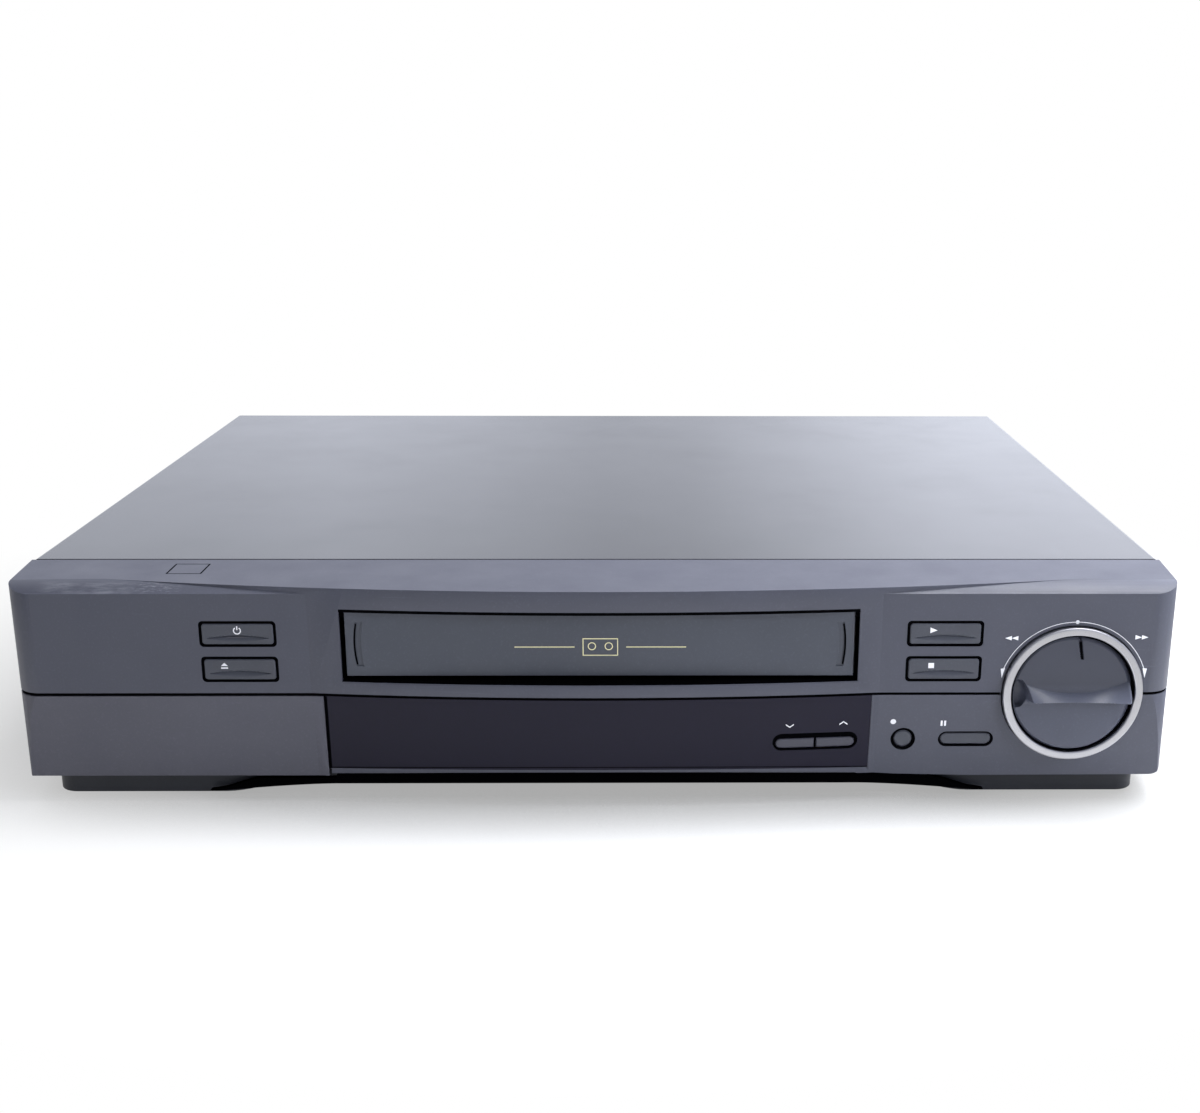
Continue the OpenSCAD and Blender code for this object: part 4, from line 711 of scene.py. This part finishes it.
def put_key(name, points, x, z, flange, back, stem, look="key_grey", shade_angle=40):
    """A key's cap with its flange (w, h) and its stem (radius, end, steps), instead of the node."""
    cap = np.pad(np.stack(points, -1), ((1, 1), (1, 1), (0, 0)), mode="edge")
    cap[[0, -1], :, 1] = back + 0.1
    cap[:, [0, -1], 1] = back + 0.1
    (w, h), (r, end, steps) = flange, stem
    plate = slab(x - w / 2, x + w / 2, back, back + 1, z - h / 2, z + h / 2)
    new_piece(name + "_cap", [lay_grid(cap), plate, rod(x, z, r, back + 0.9, end, steps)], look,
              name, replaces=[name + "_key"], shade_angle=shade_angle)


def small_key(name, x, w, h, x0, x1, flange, back, stem_to, look="key_grey", sink=0):
    """A small key sunk a little in its hole: a rounded bar, or the part of one from x0 to x1.

    With r = h / 2 the outline is z = +-sqrt(r^2 - p^2), where p is how far x lies past the
    straight part; the face follows front_y, 0.4 mm back, and rolls off at the outline.
    """
    r = h / 2
    gx = (x0 + x1) / 2 + (x1 - x0) / 2 * eased(90)
    past = np.clip(np.abs(gx) - (w / 2 - r), 0, r * 0.99999)
    gz = np.sqrt(r ** 2 - past ** 2)[:, None] * eased(40)[None]
    gx, past = (np.broadcast_to(v[:, None], gz.shape) for v in (gx, past))
    inside = r - np.hypot(past, gz)
    if x0 > -w / 2:
        inside = np.minimum(inside, (gx - x0) * 1.6)
    if x1 < w / 2:
        inside = np.minimum(inside, (x1 - gx) * 1.6)
    z = SMALL_Z - sink
    y = front_y(x + gx, z + gz) + 0.4 + roll_off(inside, 0.9)
    put_key(name, (x + gx, y, z + gz), x + (x0 + x1) / 2, SMALL_Z, flange, FLAT_Y + back,
            (1.6, FLAT_Y + stem_to, 32), look, 45)


def key_piece(name, x, z, lens):
    """A main key: rounded cap with a lens-shaped thumb scoop, flange and stem.

    Over the cap the face lies at roll_off + scoop, where scoop is a parabola in z between the
    arms z0 +- s(1 - (x / a)^2) of the lens.
    """
    r, a, s, z0 = 1.1, 11.6, 1.2, -1.6
    gx = KEY_W / 2 * eased(120)
    past = np.clip(np.abs(gx) - (KEY_W / 2 - r), 0, r)
    limit = KEY_H / 2 - r + np.sqrt(r ** 2 - past ** 2)
    gz = limit[:, None] * eased(90)[None]
    gx = np.broadcast_to(gx[:, None], gz.shape)
    qx, qz = np.abs(gx) - (KEY_W / 2 - r), np.abs(gz) - (KEY_H / 2 - r)
    inside = r - np.hypot(np.maximum(qx, 0), np.maximum(qz, 0)) - np.minimum(np.maximum(qx, qz), 0)
    half = np.maximum(s * (1 - (gx / a) ** 2), 1e-3)
    q = np.clip((gz - z0) / half, -1, 1)
    scoop = 0.95 * np.clip(half / s, 0, 1) ** 0.5 * np.where(
        q < 0.6, ((q + 1) / 1.6) ** 1.3, np.sqrt(np.clip((1 - q) / 0.4, 0, 1)))
    y = KEY_FACE_Y + roll_off(inside, 0.45) + scoop
    put_key(name, (x + gx, y, z + gz), x, z, (KEY_W + 3.4, KEY_H + 3.4), FLAT_Y + 2.8,
            (2, FLAT_Y + 5.6, 40))
    if lens:
        t = np.linspace(0, 2 * np.pi, 40, endpoint=False)
        line = np.stack([x + 4.6 * np.cos(t), z + z0 - 0.1 + 0.62 * np.sin(t)], -1)
        new_piece(name + "_cap_lens", [print_patch(line, level(KEY_FACE_Y + 0.62), 0.1)],
                  "key_smoked", name, smooth=False)


def round_edges():
    """Softened twins of the moulding, door, flap and plinth."""
    r = bpy.context.scene.recorder_sizes.edge_round
    # the underside is trimmed to low_edge, and rises below the swell towards the front
    x = np.array([-100.3, -50, 0, 50, 98, 104, 112, 140, 180, 222.0])
    low, steep = low_edge(x), np.interp(x, [98, 104], [0.51, 0])
    rear = np.interp(x, [104, 112], [FLAT_Y + 11, SEAM_Y + 3])
    under = loft([(x, y, z) for y, z in (
        (rear, PANEL_Z - 1), (rear, low), (FLAT_Y + 4.2, low),
        (FLAT_Y - 7.8, low + 12 * steep), (FLAT_Y - 7.8, PANEL_Z - 1))], ends=True)
    soften("front_moulding", r, [
        under, corner_cutter(1, 4.4, 11.25), corner_cutter(-1),
        square_ring(TOP_Z - 0.4, TOP_Z + 1), seam_band(-1, 0.5, SEAM_Y - 0.6, SEAM_Y + 1)])
    reshape(soften("socket_door", r, [corner_cutter(-1)]), reach_to_window)
    soften("cassette_flap", r)
    reshape(soften("front_plinth", r), widen)


def plinth_web():
    """The plinth's web between its feet, clear of the open door, in black: painted shadow from the
    front above it.
    """
    x = np.linspace(-148, 148, 149)
    foot = 6.1 - 2.9 * np.clip((np.abs(x) - 100) / 44, 0, 1) ** 1.5
    top = np.interp(np.abs(x), [100, 104, 122, 132, 142, 148],
                    [13.2, 10.6, 10.6, 7.6, 4.4, 3.4])
    top = np.where(x < -99, np.minimum(top, 8.4), top)
    y = FLAT_Y + 8.3
    web = loft([(x, y, foot), (x, y, top), (x, y + 2.4, top), (x, y + 2.4, foot)])
    new_piece("plinth_web", [web], "gap_black", "case", smooth=False)


def window_and_sill():
    """The window, trimmed to the sill below it, which bulges up with the swell."""
    x = np.linspace(*WINDOW_X, 160)
    bulge = swell(x) / SWELL_H
    sill = 14.6 + 1.4 * bulge
    soften("display_window", 0, [loft([(x * 1.03, y, z) for y, z in (
        (FLAT_Y - 8, 12), (FLAT_Y - 8, sill - 0.3), (FLAT_Y + 7, sill - 0.3),
        (FLAT_Y + 7, 12))], ends=True)])
    front_sheet("window_sill", x, low_edge(x) + 2.8 * bulge, sill, -0.04, 1.2, "charcoal")
    # a thin black strip along the window's lower edge: painted shade in the joint
    line = sill + 0.9 * bulge
    front_sheet("sill_line", x, line, line + 0.35, 0.05, 0.3, "gap_black")


def line_gaps():
    """Painted shade: black linings just below the surface, so that each gap shows as dark as its
    shade.
    """
    def put(name, parts, body="case", smooth=False):
        new_piece(name, parts, "gap_black", body, smooth=smooth)

    # groove: painted shade, a square black bead just below the surface, from seam to seam but for
    # the dial
    rows = []
    for inset, dz in ((0.35, -0.52), (0.35, 0.52), (1.45, 0.52), (1.45, -0.52)):
        plan = front_path(inset)
        rows.append(np.column_stack([plan, np.full(len(plan), SPLIT_Z + dz)]))
    bead = np.stack(rows, 1)
    x, on_front = bead[:, 0, 0], bead[:, 0, 1] < FLAT_Y + 2
    put("groove_liner", [lay_grid(bead[keep], close_v=True) for keep in (
        (x < DIAL_X - 25) | ~on_front & (x < 0), (x > DIAL_X + 25) | ~on_front & (x > 0))])
    # painted shade in the seam round the cover, and in the inset square's groove
    put("seam_liner", [seam_band(0.08, 0.45, SEAM_Y - 0.6, SEAM_Y + 0.38)])
    put("square_liner", [square_ring(TOP_Z - 0.4, TOP_Z - 0.06)])
    # beside the window: a dark strip over the gap as painted shade, with the door end's lean
    z = np.linspace(PANEL_Z + 4.8, SPLIT_Z - 0.6, 24)
    end = WINDOW_X[0] + 0.6 * (z - PANEL_Z) / (SPLIT_Z - PANEL_Z)
    put("door_gap_liner", [loft([(end - w, front_y(end - w, z) + dy, z) for w, dy in (
        (1.1, 0.06), (0, 0.06), (0, 0.5), (1.1, 0.5))])])

    # painted shade in the gaps round the four main keys
    put("key_liners", [
        sunk_ring(rounded_outline(x, z, KEY_HOLE_W + 0.4, KEY_HOLE_H + 0.4, 1.8),
                  rounded_outline(x, z, KEY_W + 0.12, KEY_H + 0.12, 1.16), level(FLAT_Y), 0.2)
        for x in (KEY_LEFT_X, KEY_RIGHT_X) for z in (KEY_UPPER_Z, KEY_LOWER_Z)])
    # painted shade in the gaps round the small keys, and between the two channel keys
    dish = level(FLAT_Y + (SPLIT_Z - SMALL_Z) * LEAN + 0.54)
    rings = []
    for x, w, h, grow, surface, depth, sink in (
            (CHANNEL_X, 32.6, 7.6, 2.3, front_y, 0.25, 0.7),
            (PAUSE_X, 21.2, 6.8, 1.6, front_y, 0.15, 0),
            (RECORD_X, 9.2, 9.2, 2.1, dish, 0, 0)):
        low = h - grow - 1.2 * sink
        rings.append(sunk_ring(
            rounded_outline(x, SMALL_Z, w, h, h / 2 - 0.01),
            rounded_outline(x, SMALL_Z - sink, w - grow, low, low / 2 - 0.01),
            surface, depth))
    middle = print_patch(bar_outline(CHANNEL_X, SMALL_Z, 0.7, 5.4), front_at(1.1), 0.1)
    put("small_key_liners", [*rings, middle])

    # cassette opening, in painted shade: lower lip and top right out to the swell, then both sides,
    # a brow below the upper edge and a cover over the gap at each end of the flap
    x = np.linspace(SLOT_X - SLOT_HALF, SLOT_X + SLOT_HALF, 60)
    lip, back = FLAT_Y - swell(x) + 0.5, FLAT_Y + 7.6
    section = ((lip, 0.0), (lip + 0.1, 0.18), (back, 0.18), (back, 0.0))
    parts = [loft([(x, y, z + way * dz) for y, dz in section])
             for z, way in ((SLOT_FOOT, 1), (SLOT_TOP, -1))]
    parts += [slab(x - 0.2, x + 0.05, FLAT_Y + 0.2, back, SLOT_FOOT, SLOT_TOP)
              for x in (SLOT_X - SLOT_HALF, SLOT_X + SLOT_HALF)]
    parts.append(loft([(x, lip + dy, SLOT_TOP + dz) for dy, dz in (
        (-0.38, 0.02), (-0.38, -1.15), (0.3, -1.15), (0.3, 0.02))]))
    parts += [slab(*sorted((SLOT_X + s * 94.98, SLOT_X + s * 93.4)), FLAT_Y + 0.12, FLAT_Y + 0.4,
                   SLOT_TOP - 3.4, SLOT_TOP) for s in (-1, 1)]
    put("opening_lining", parts)

    # painted shade in the two bowed grooves of the flap
    put("flap_groove_shade", [print_patch(
        arc_outline(SLOT_X + s * 50.1, 65.1, 39.95, 0.6, mid - 11.3, mid + 11.3, 24),
        level(FLAP_FACE_Y + 0.14), 0.1) for s, mid in ((1, 0), (-1, 180))], "flap")
    # painted shade in the gap between the knob and the ring
    near, far, y0, y1 = KNOB_R + 0.08, RING_IN - 0.02, FLAT_Y - 0.5, FLAT_Y + 1.4
    put("dial_gap_liner", [turned(
        [(near, y0), (far, y0), (far, y1), (near, y1), (near, y0)], DIAL_X, DIAL_Z)],
        smooth=True)


def finish_sockets():
    """Three pairs of an insert and a sleeve, each with the sockets of its channel."""
    nodes = [frame["nodes"][n] for n in ("phono_block", "socket_panel")]
    block, panel = (np.array(node.bound_box) @ np.array(node.matrix_world)[:3, :3] / MM
                    for node in nodes)
    back, front = block[:, 1].max(), panel[:, 1].min()
    across = (panel[:, 0].min() + panel[:, 0].max()) / 2
    for k, ink in enumerate(("insert_yellow", "insert_white", "insert_red")):
        # two rows of sockets behind, 16 mm apart, and one in front, 24 mm apart
        spots = [(20 + k * 16, z, back, 1) for z in (26, 42)]
        spots.append((across + (k - 1) * 24, PANEL_Z + 19, front, -1))
        # profiles of (radius, how far out of the socket's end)
        insert = [(3.25, -1), (3.25, 0.15), (1.75, 0.15), (1.75, -1), (3.25, -1)]
        sleeve = [(4.3, -4.5), (4.3, 0.1), (4.1, 0.3), (3.3, 0.3), (3.3, -1), (4.3, -4.5)]
        for name, profile, look in (("insert", insert, ink), ("sleeve", sleeve, "silver")):
            new_piece(f"socket_{name}_{k + 1}", [
                turned([(r, end + out * way) for r, out in profile], x, z, 40)
                for x, z, end, way in spots], look, "case")


def trim_ring():
    """A rounded band, proud of the face, with a step down to the dark gap inside it."""
    out, foot, outer_r, inner_r = FLAT_Y - 2.2, FLAT_Y + 8, 0.9, 0.7
    t = np.radians(np.linspace(0, 90, 9))
    outer = [(RING_OUT - outer_r + outer_r * math.cos(a), out + outer_r - outer_r * math.sin(a))
             for a in t]
    inner = [(RING_IN + inner_r - inner_r * math.sin(a), out + inner_r - inner_r * math.cos(a))
             for a in t]
    profile = [(RING_OUT, foot), *outer, *inner, (RING_IN, foot), (RING_OUT, foot)]
    new_piece("trim_ring", [turned(profile, DIAL_X, DIAL_Z, 360)], "silver", "case",
              replaces=["dial_ring"])


def jog_knob():
    """The knob: its height h over the disc is worked out on a polar grid."""
    u = np.concatenate([np.linspace(0.02, KNOB_R - 1.7, 150),
                        np.linspace(KNOB_R - 1.7, KNOB_R, 18)[1:]])
    a = np.linspace(0, 2 * np.pi, 360, endpoint=False)
    rad, ang = np.meshgrid(u, a, indexing="xy")
    x, z = rad * np.cos(ang), rad * np.sin(ang)
    # grip: rises from its waisted upper edge to its lower edge, then falls sharply
    upper = 0.25 + 4.6 * (x / 20) ** 2
    lower = -1.5 - 0.9 * (x / 20) ** 2
    rise = np.clip((upper - z) / (upper - lower), 0, 1)
    fall = np.clip((lower - z) / 1.3, 0, 1)
    left_end = np.clip((x + 17.6 + 0.28 * z) / 1.6, 0, 1)
    grip_out = bpy.context.scene.recorder_sizes.grip_out / MM
    ridge = grip_out * (rise ** 0.85) * (1 - fall ** 0.7) * left_end
    ridge = np.where(z > upper, 0, ridge)
    # finger hollow at the grip's left end, and the tilted groove that holds a black sheet as
    # painted shade
    hollow = 4.0 * np.clip(1 - ((x + 20.6) / 3.6) ** 2 - ((z - 0.2) / 5.6) ** 2, 0, 1) ** 0.4
    off = x - 2.5 + 1.1 * (z - 13.7) / 6.6
    groove = 0.8 * np.clip((0.5 - np.abs(off)) / 0.1, 0, 1) * np.clip((z - 13.5) / 0.4, 0, 1)
    dome = 0.5 * (1 - (rad / KNOB_R) ** 2)
    # the chamfered rim is wider towards the right
    rim = 0.6 + 1.0 * np.clip(np.cos(ang - 0.35), 0, 1)
    chamfer = np.clip((rad - (KNOB_R - rim)) / rim, 0, 1)
    keep = 1 - np.clip((rad - (KNOB_R - 0.9)) / 0.7, 0, 1)
    # below the grip the face leans back towards it, so it catches the light from above
    lean = 0.075 * np.clip(lower - z, 0, 30) - 0.5 * np.clip((lower - z) / 2, 0, 1)
    h = dome + ridge * keep + lean * keep - hollow * keep - groove - 0.8 * rim * chamfer
    face = np.stack([DIAL_X + x, DISC_Y - h, DIAL_Z + z], -1)
    side, back = (np.stack([DIAL_X + r * np.cos(a), np.full_like(a, FLAT_Y + 5),
                            DIAL_Z + r * np.sin(a)], -1)[:, None] for r in (KNOB_R, 0.02))
    grid = np.concatenate([face, side, back], 1)
    v, f = lay_grid(grid, close_u=True)
    n = grid.shape[1]
    starts = range(0, len(v), n)
    f += [list(starts)[::-1], [i + n - 1 for i in starts]]
    spindle = rod(DIAL_X, DIAL_Z, 3, FLAT_Y + 4.8, FLAT_Y + 8.4, 48)
    new_piece("jog_knob", [(v, f), spindle], "knob_grey", "jog_dial",
              replaces=["dial_knob"], shade_angle=28)
    # a black sheet in the tilted groove: painted shade
    mark = print_patch([(DIAL_X + 2.5 + w, DIAL_Z + 13.7) for w in (-0.42, 0.42)]
                       + [(DIAL_X + 1.4 + w, DIAL_Z + 20.3) for w in (0.42, -0.42)],
                       level(DISC_Y), 0.28)
    new_piece("dial_groove_shade", [mark], "gap_black", "jog_dial", smooth=False)


def print_marks():
    """Thin slabs of ink, print_height proud of what they lie on."""
    sizes = bpy.context.scene.recorder_sizes
    lift = sizes.print_height / MM

    def put(name, outlines, surface=front_y, body="case", ink="printed_white"):
        new_piece(name, [print_patch(o, surface, lift) for o in outlines], ink, body,
                  smooth=False)

    key_face = level(KEY_FACE_Y)
    zu, zl = KEY_UPPER_Z + 1.4, KEY_LOWER_Z + 1.4
    # power: an open ring with a bar; eject: a wedge over a bar
    put("power_mark", [arc_outline(KEY_LEFT_X, zu, 1.25, 0.4, 125, 415, 30),
                       bar_outline(KEY_LEFT_X, zu + 1.0, 0.42, 1.5)], key_face, "power")
    ex = KEY_LEFT_X - 5.6
    put("eject_mark", [[(ex - 1.25, zl + 0.05), (ex + 1.25, zl + 0.05), (ex, zl + 1.3)],
                       bar_outline(ex, zl - 0.75, 2.5, 0.5)], key_face, "eject")
    put("play_mark", [arrow_outline(KEY_RIGHT_X - 4.4, zu, 2.6, 2.2)], key_face, "play")
    put("stop_mark", [bar_outline(KEY_RIGHT_X - 4.7, zl, 2.1, 2.0)], key_face, "stop")
    put("channel_marks", [chevron_outline(x, 33.7, 3.0, 1.1, 0.5, way)
                          for x, way in ((72.0, 1), (92.2, -1))], front_at(0.11))
    put("record_mark", [disc_outline(111.0, 34.0, 1.05)])
    put("pause_mark", [bar_outline(x, 33.3, 0.75, 2.2) for x in (129.2, 130.5)])
    put("rewind_mark", [arrow_outline(x, 67.5, 2.4, 1.7, -1) for x in (151.7, 154.1)])
    put("forward_mark", [arrow_outline(x, 67.8, 2.4, 1.7) for x in (199.7, 202.1)])
    # round the dial: a thin arc with a dot at its top and a wedge at each end
    r = sizes.arc_radius / MM
    tips = []
    for side in (-1, 1):
        a = math.radians(90 - side * 70)
        x, z = DIAL_X + r * math.cos(a), DIAL_Z + r * math.sin(a)
        tips.append([(x + side * 0.5, z - 3.6), (x + side * 1.1, z + 0.1),
                     (x - side * 0.5, z + 0.3)])
    put("dial_arc", [arc_outline(DIAL_X, DIAL_Z, r, 0.24, 20, 160, 90),
                     disc_outline(DIAL_X, DIAL_Z + r, 0.75), *tips])
    # flap: a plain cassette outline between two thin rules
    z, w, h, t, ways = 64.0, 13.0, 6.4, 0.32, (-1, 1)
    put("flap_mark", [*[bar_outline(SLOT_X, z + s * h / 2, w, t) for s in ways],
                      *[bar_outline(SLOT_X + s * (w - t) / 2, z, t, h) for s in ways],
                      *[arc_outline(SLOT_X + s * 3.1, z + 0.3, 1.35, t, 0, 359.9, 32)
                        for s in ways],
                      *[bar_outline(SLOT_X + s * 20.5, z, 22, 0.34) for s in ways]],
        level(FLAP_FACE_Y), "flap", "printed_gold")


# ---- the stage ----

def set_world(scene):
    """Plain white to the camera, dim light on matt surfaces, and a white room in the gloss."""
    world = bpy.data.worlds.new("studio")
    scene.world = world
    world.use_nodes = True
    tree = world.node_tree
    tree.nodes.clear()
    p = Patterns(tree, tree.nodes.new("ShaderNodeTexCoord").outputs["Generated"])
    # the room is brighter to the right and behind, dimmer in front
    x, y = p.place("X"), p.place("Y")
    back = p.maths("MULTIPLY", p.spread(x, -0.3, 0.3, 1.1, 1.85),
                   p.spread(p.maths("ABSOLUTE", x, 0.0), 0.03, 0.2, 0.66, 1.0))
    fore = p.spread(x, -0.5, 0.5, 0.35, 0.9)
    rear = p.spread(y, 0.0, 0.3)
    gain = p.maths("ADD", p.maths("MULTIPLY", back, rear),
                   p.maths("MULTIPLY", fore, p.maths("SUBTRACT", 1.0, rear)))
    ray = p.add("LightPath").outputs
    lit = p.either(ray["Is Glossy Ray"], p.background((0.93, 0.96, 1.0), 0.3),
                   p.background((0.9, 0.94, 1.06), gain))
    seen = p.maths("MAXIMUM", ray["Is Camera Ray"], ray["Is Transmission Ray"])
    p.add("OutputWorld", {"Surface": p.either(seen, lit, p.background((1, 1, 1), 1.0))})


def lay_floor():
    """A floor whose colour is darkened near the recorder by painted shade, and which fades to pure
    white further off.
    """
    corners = np.array([(-1, -1, 0), (1, -1, 0), (1, 1, 0), (-1, 1, 0)]) * FLOOR_HALF
    floor = new_object("floor", new_mesh("floor", corners, [(0, 1, 2, 3)]))
    f = Finish("floor_white", (0.9, 0.9, 0.91), 0.9, specular=0.1)
    # painted shade: the floor's colour darkens where the Ambient Occlusion node finds the recorder
    # close by
    near = f.add("AmbientOcclusion", {"Distance": 0.05}, samples=8)
    f.tint(f.spread(near.outputs["AO"], 0.25, 0.85, 0.97, 0.0), (0.01, 0.01, 0.012))
    glow = f.add("Emission", {"Color": (1, 1, 1, 1)})
    reach = f.add("VectorMath", {0: f.stretched((1.0, 1.25, 1.0))}, operation="LENGTH")
    away = f.spread(reach.outputs["Value"], 0.24, 0.43, 0.4, 1.0)
    ray = f.add("LightPath").outputs
    seen = f.maths("MAXIMUM", ray["Is Camera Ray"],
                   f.maths("MAXIMUM", ray["Is Glossy Ray"], ray["Is Transmission Ray"]))
    surface = f.either(f.maths("MULTIPLY", away, seen), f.shader.outputs["BSDF"],
                       glow.outputs["Emission"])
    f.link(surface, f.tree.nodes["Material Output"].inputs["Surface"])
    floor.data.materials.append(f.material)


def hang_lamps():
    """Soft rectangular lamps; only the overhead one is mirrored in gloss.

    Each has its place, the point it is aimed at, width, height, power in watts and colour.
    """
    for name, at, aim, width, height, power, tone in (
            ("overhead", (0.7, 0.12, 1.3), (0, 0, 0), 1.1, 1.0, 21, (1, 1, 1)),
            ("front_left", (-1.2, -1.5, 1.0), (0, 0, 0.04), 0.9, 0.9, 1.5, (0.96, 0.97, 1)),
            ("right_side", (0.85, -0.7, 0.5), (0.15, -0.1, 0.04), 0.5, 0.4, 5.5, (0.88, 0.93, 1)),
            ("right_high", (0.62, -0.2, 0.5), (0.24, -0.14, 0.07), 0.3, 0.3, 4, (0.9, 0.94, 1)),
            ("top_right", (0.29, -0.02, 0.45), (0.2, -0.14, 0.087), 0.2, 0.2, 1.6,
             (0.95, 0.96, 1))):
        light = bpy.data.lights.new(name, "AREA")
        light.shape = "RECTANGLE"
        light.size, light.size_y = width, height
        light.energy = power
        light.color = tone
        lamp = new_object(name, light)
        aim_way = (Vector(aim) - Vector(at)).normalized()
        lamp.rotation_euler = aim_way.to_track_quat("-Z", "Y").to_euler()
        lamp.location = at
        lamp.visible_glossy = name == "overhead"


def set_camera(scene):
    """The photograph's camera: its lens and shift from pixels, its turn from three angles."""
    data = bpy.data.cameras.new("camera")
    data.sensor_fit = "HORIZONTAL"
    data.sensor_width = SENSOR
    data.lens = FOCAL / PHOTO_W * SENSOR
    data.shift_x = -(AXIS_X - PHOTO_W / 2) / PHOTO_W
    data.shift_y = (AXIS_Y - PHOTO_H / 2) / PHOTO_W
    data.clip_start = 0.01
    camera = new_object("camera", data)
    (cp, sp), (cy, sy), (cr, sr) = (
        (math.cos(math.radians(v)), math.sin(math.radians(v))) for v in (PITCH, YAW, ROLL))
    ahead = Vector((sy * cp, cy * cp, -sp))
    right = Vector((cy, -sy, 0))
    up = right.cross(ahead)
    turn = Matrix((cr * right + sr * up, cr * up - sr * right, -ahead)).transposed()
    camera.matrix_world = Matrix.Translation(Vector(EYE) * MM) @ turn.to_4x4()
    scene.camera = camera


# ---- the steps and their panel ----

class RECORDER_OT_finish_nodes(bpy.types.Operator):
    """Gives each carried-over node the finish of its slot"""
    bl_idname = "recorder.finish_nodes"
    bl_label = "Finish the frame's nodes"

    def execute(self, context):
        for name, node in frame["nodes"].items():
            dress(node.data, SLOT_OF[name])
        return {"FINISHED"}


class RECORDER_OT_moulded_edges(bpy.types.Operator):
    """Rounds the edges of the moulded pieces that are seen, and makes the web and the sill"""
    bl_idname = "recorder.moulded_edges"
    bl_label = "Round the moulded edges"

    def execute(self, context):
        round_edges()
        plinth_web()
        window_and_sill()
        return {"FINISHED"}


class RECORDER_OT_keys(bpy.types.Operator):
    """Makes the four main keys with their thumb scoops, and the small keys"""
    bl_idname = "recorder.keys"
    bl_label = "Make the keys"

    def execute(self, context):
        for name, x, z in (("power", KEY_LEFT_X, KEY_UPPER_Z), ("eject", KEY_LEFT_X, KEY_LOWER_Z),
                           ("play", KEY_RIGHT_X, KEY_UPPER_Z), ("stop", KEY_RIGHT_X, KEY_LOWER_Z)):
            key_piece(name, x, z, lens=name == "power")
        small_key("record", RECORD_X, 7.0, 7.0, -3.5, 3.5, (9.0, 9.0), 5.98, 6.98)
        small_key("pause", PAUSE_X, 19.5, 5.1, -9.75, 9.75, (22.4, 8.0), 5.92, 6.92)
        for way, x0, x1, back in (("down", -15.1, -0.35, 3.8), ("up", 0.35, 15.1, 5.2)):
            small_key("channel_" + way, CHANNEL_X, 30.2, 4.4, x0, x1, (15.1, 8.8), back, 6.2,
                      "key_smoked", 0.7)
        return {"FINISHED"}


class RECORDER_OT_gaps(bpy.types.Operator):
    """Lines the gaps of the front in black as painted shade: groove, key holes, opening, dial and
    small keys
    """
    bl_idname = "recorder.gaps"
    bl_label = "Line the gaps"

    def execute(self, context):
        line_gaps()
        return {"FINISHED"}


class RECORDER_OT_sockets(bpy.types.Operator):
    """Gives the phono sockets their plated sleeves and coloured inserts"""
    bl_idname = "recorder.sockets"
    bl_label = "Finish the sockets"

    def execute(self, context):
        finish_sockets()
        return {"FINISHED"}


class RECORDER_OT_dial(bpy.types.Operator):
    """Makes the satin trim ring and the turning knob with its waisted grip"""
    bl_idname = "recorder.dial"
    bl_label = "Make the dial"

    def execute(self, context):
        trim_ring()
        jog_knob()
        return {"FINISHED"}


class RECORDER_OT_front_marks(bpy.types.Operator):
    """Prints the plain symbols on the front, the keys and the flap"""
    bl_idname = "recorder.front_marks"
    bl_label = "Print the front's symbols"

    def execute(self, context):
        print_marks()
        return {"FINISHED"}


class RECORDER_OT_stage(bpy.types.Operator):
    """Sets the pale floor, the soft studio lights and the camera"""
    bl_idname = "recorder.stage"
    bl_label = "Set the stage"

    def execute(self, context):
        scene = context.scene
        scene.view_settings.view_transform = "Standard"
        set_world(scene)
        lay_floor()
        hang_lamps()
        set_camera(scene)
        return {"FINISHED"}


class RECORDER_PT_panel(bpy.types.Panel):
    """Lists the recorder's sizes, colours and steps"""
    bl_label = "Recorder"
    bl_idname = "RECORDER_PT_panel"
    bl_space_type = "VIEW_3D"
    bl_region_type = "UI"
    bl_category = "Recorder"

    def draw(self, context):
        for group in (context.scene.recorder_sizes, context.scene.recorder_colours):
            for key in group.__annotations__:
                self.layout.prop(group, key)
        for step in STEPS:
            self.layout.operator(step.bl_idname)


STEPS = (RECORDER_OT_stage, RECORDER_OT_finish_nodes, RECORDER_OT_moulded_edges,
         RECORDER_OT_keys, RECORDER_OT_gaps, RECORDER_OT_sockets, RECORDER_OT_dial,
         RECORDER_OT_front_marks)
CLASSES = (RecorderSizes, RecorderColours, *STEPS, RECORDER_PT_panel)


def register():
    for cls in CLASSES:
        bpy.utils.register_class(cls)
    bpy.types.Scene.recorder_sizes = PointerProperty(type=RecorderSizes)
    bpy.types.Scene.recorder_colours = PointerProperty(type=RecorderColours)


def unregister():
    del bpy.types.Scene.recorder_sizes
    del bpy.types.Scene.recorder_colours
    for cls in reversed(CLASSES):
        bpy.utils.unregister_class(cls)


def main():
    register()
    for step in STEPS:
        family, name = step.bl_idname.split(".")
        getattr(getattr(bpy.ops, family), name)()


if __name__ == "__main__":
    main()
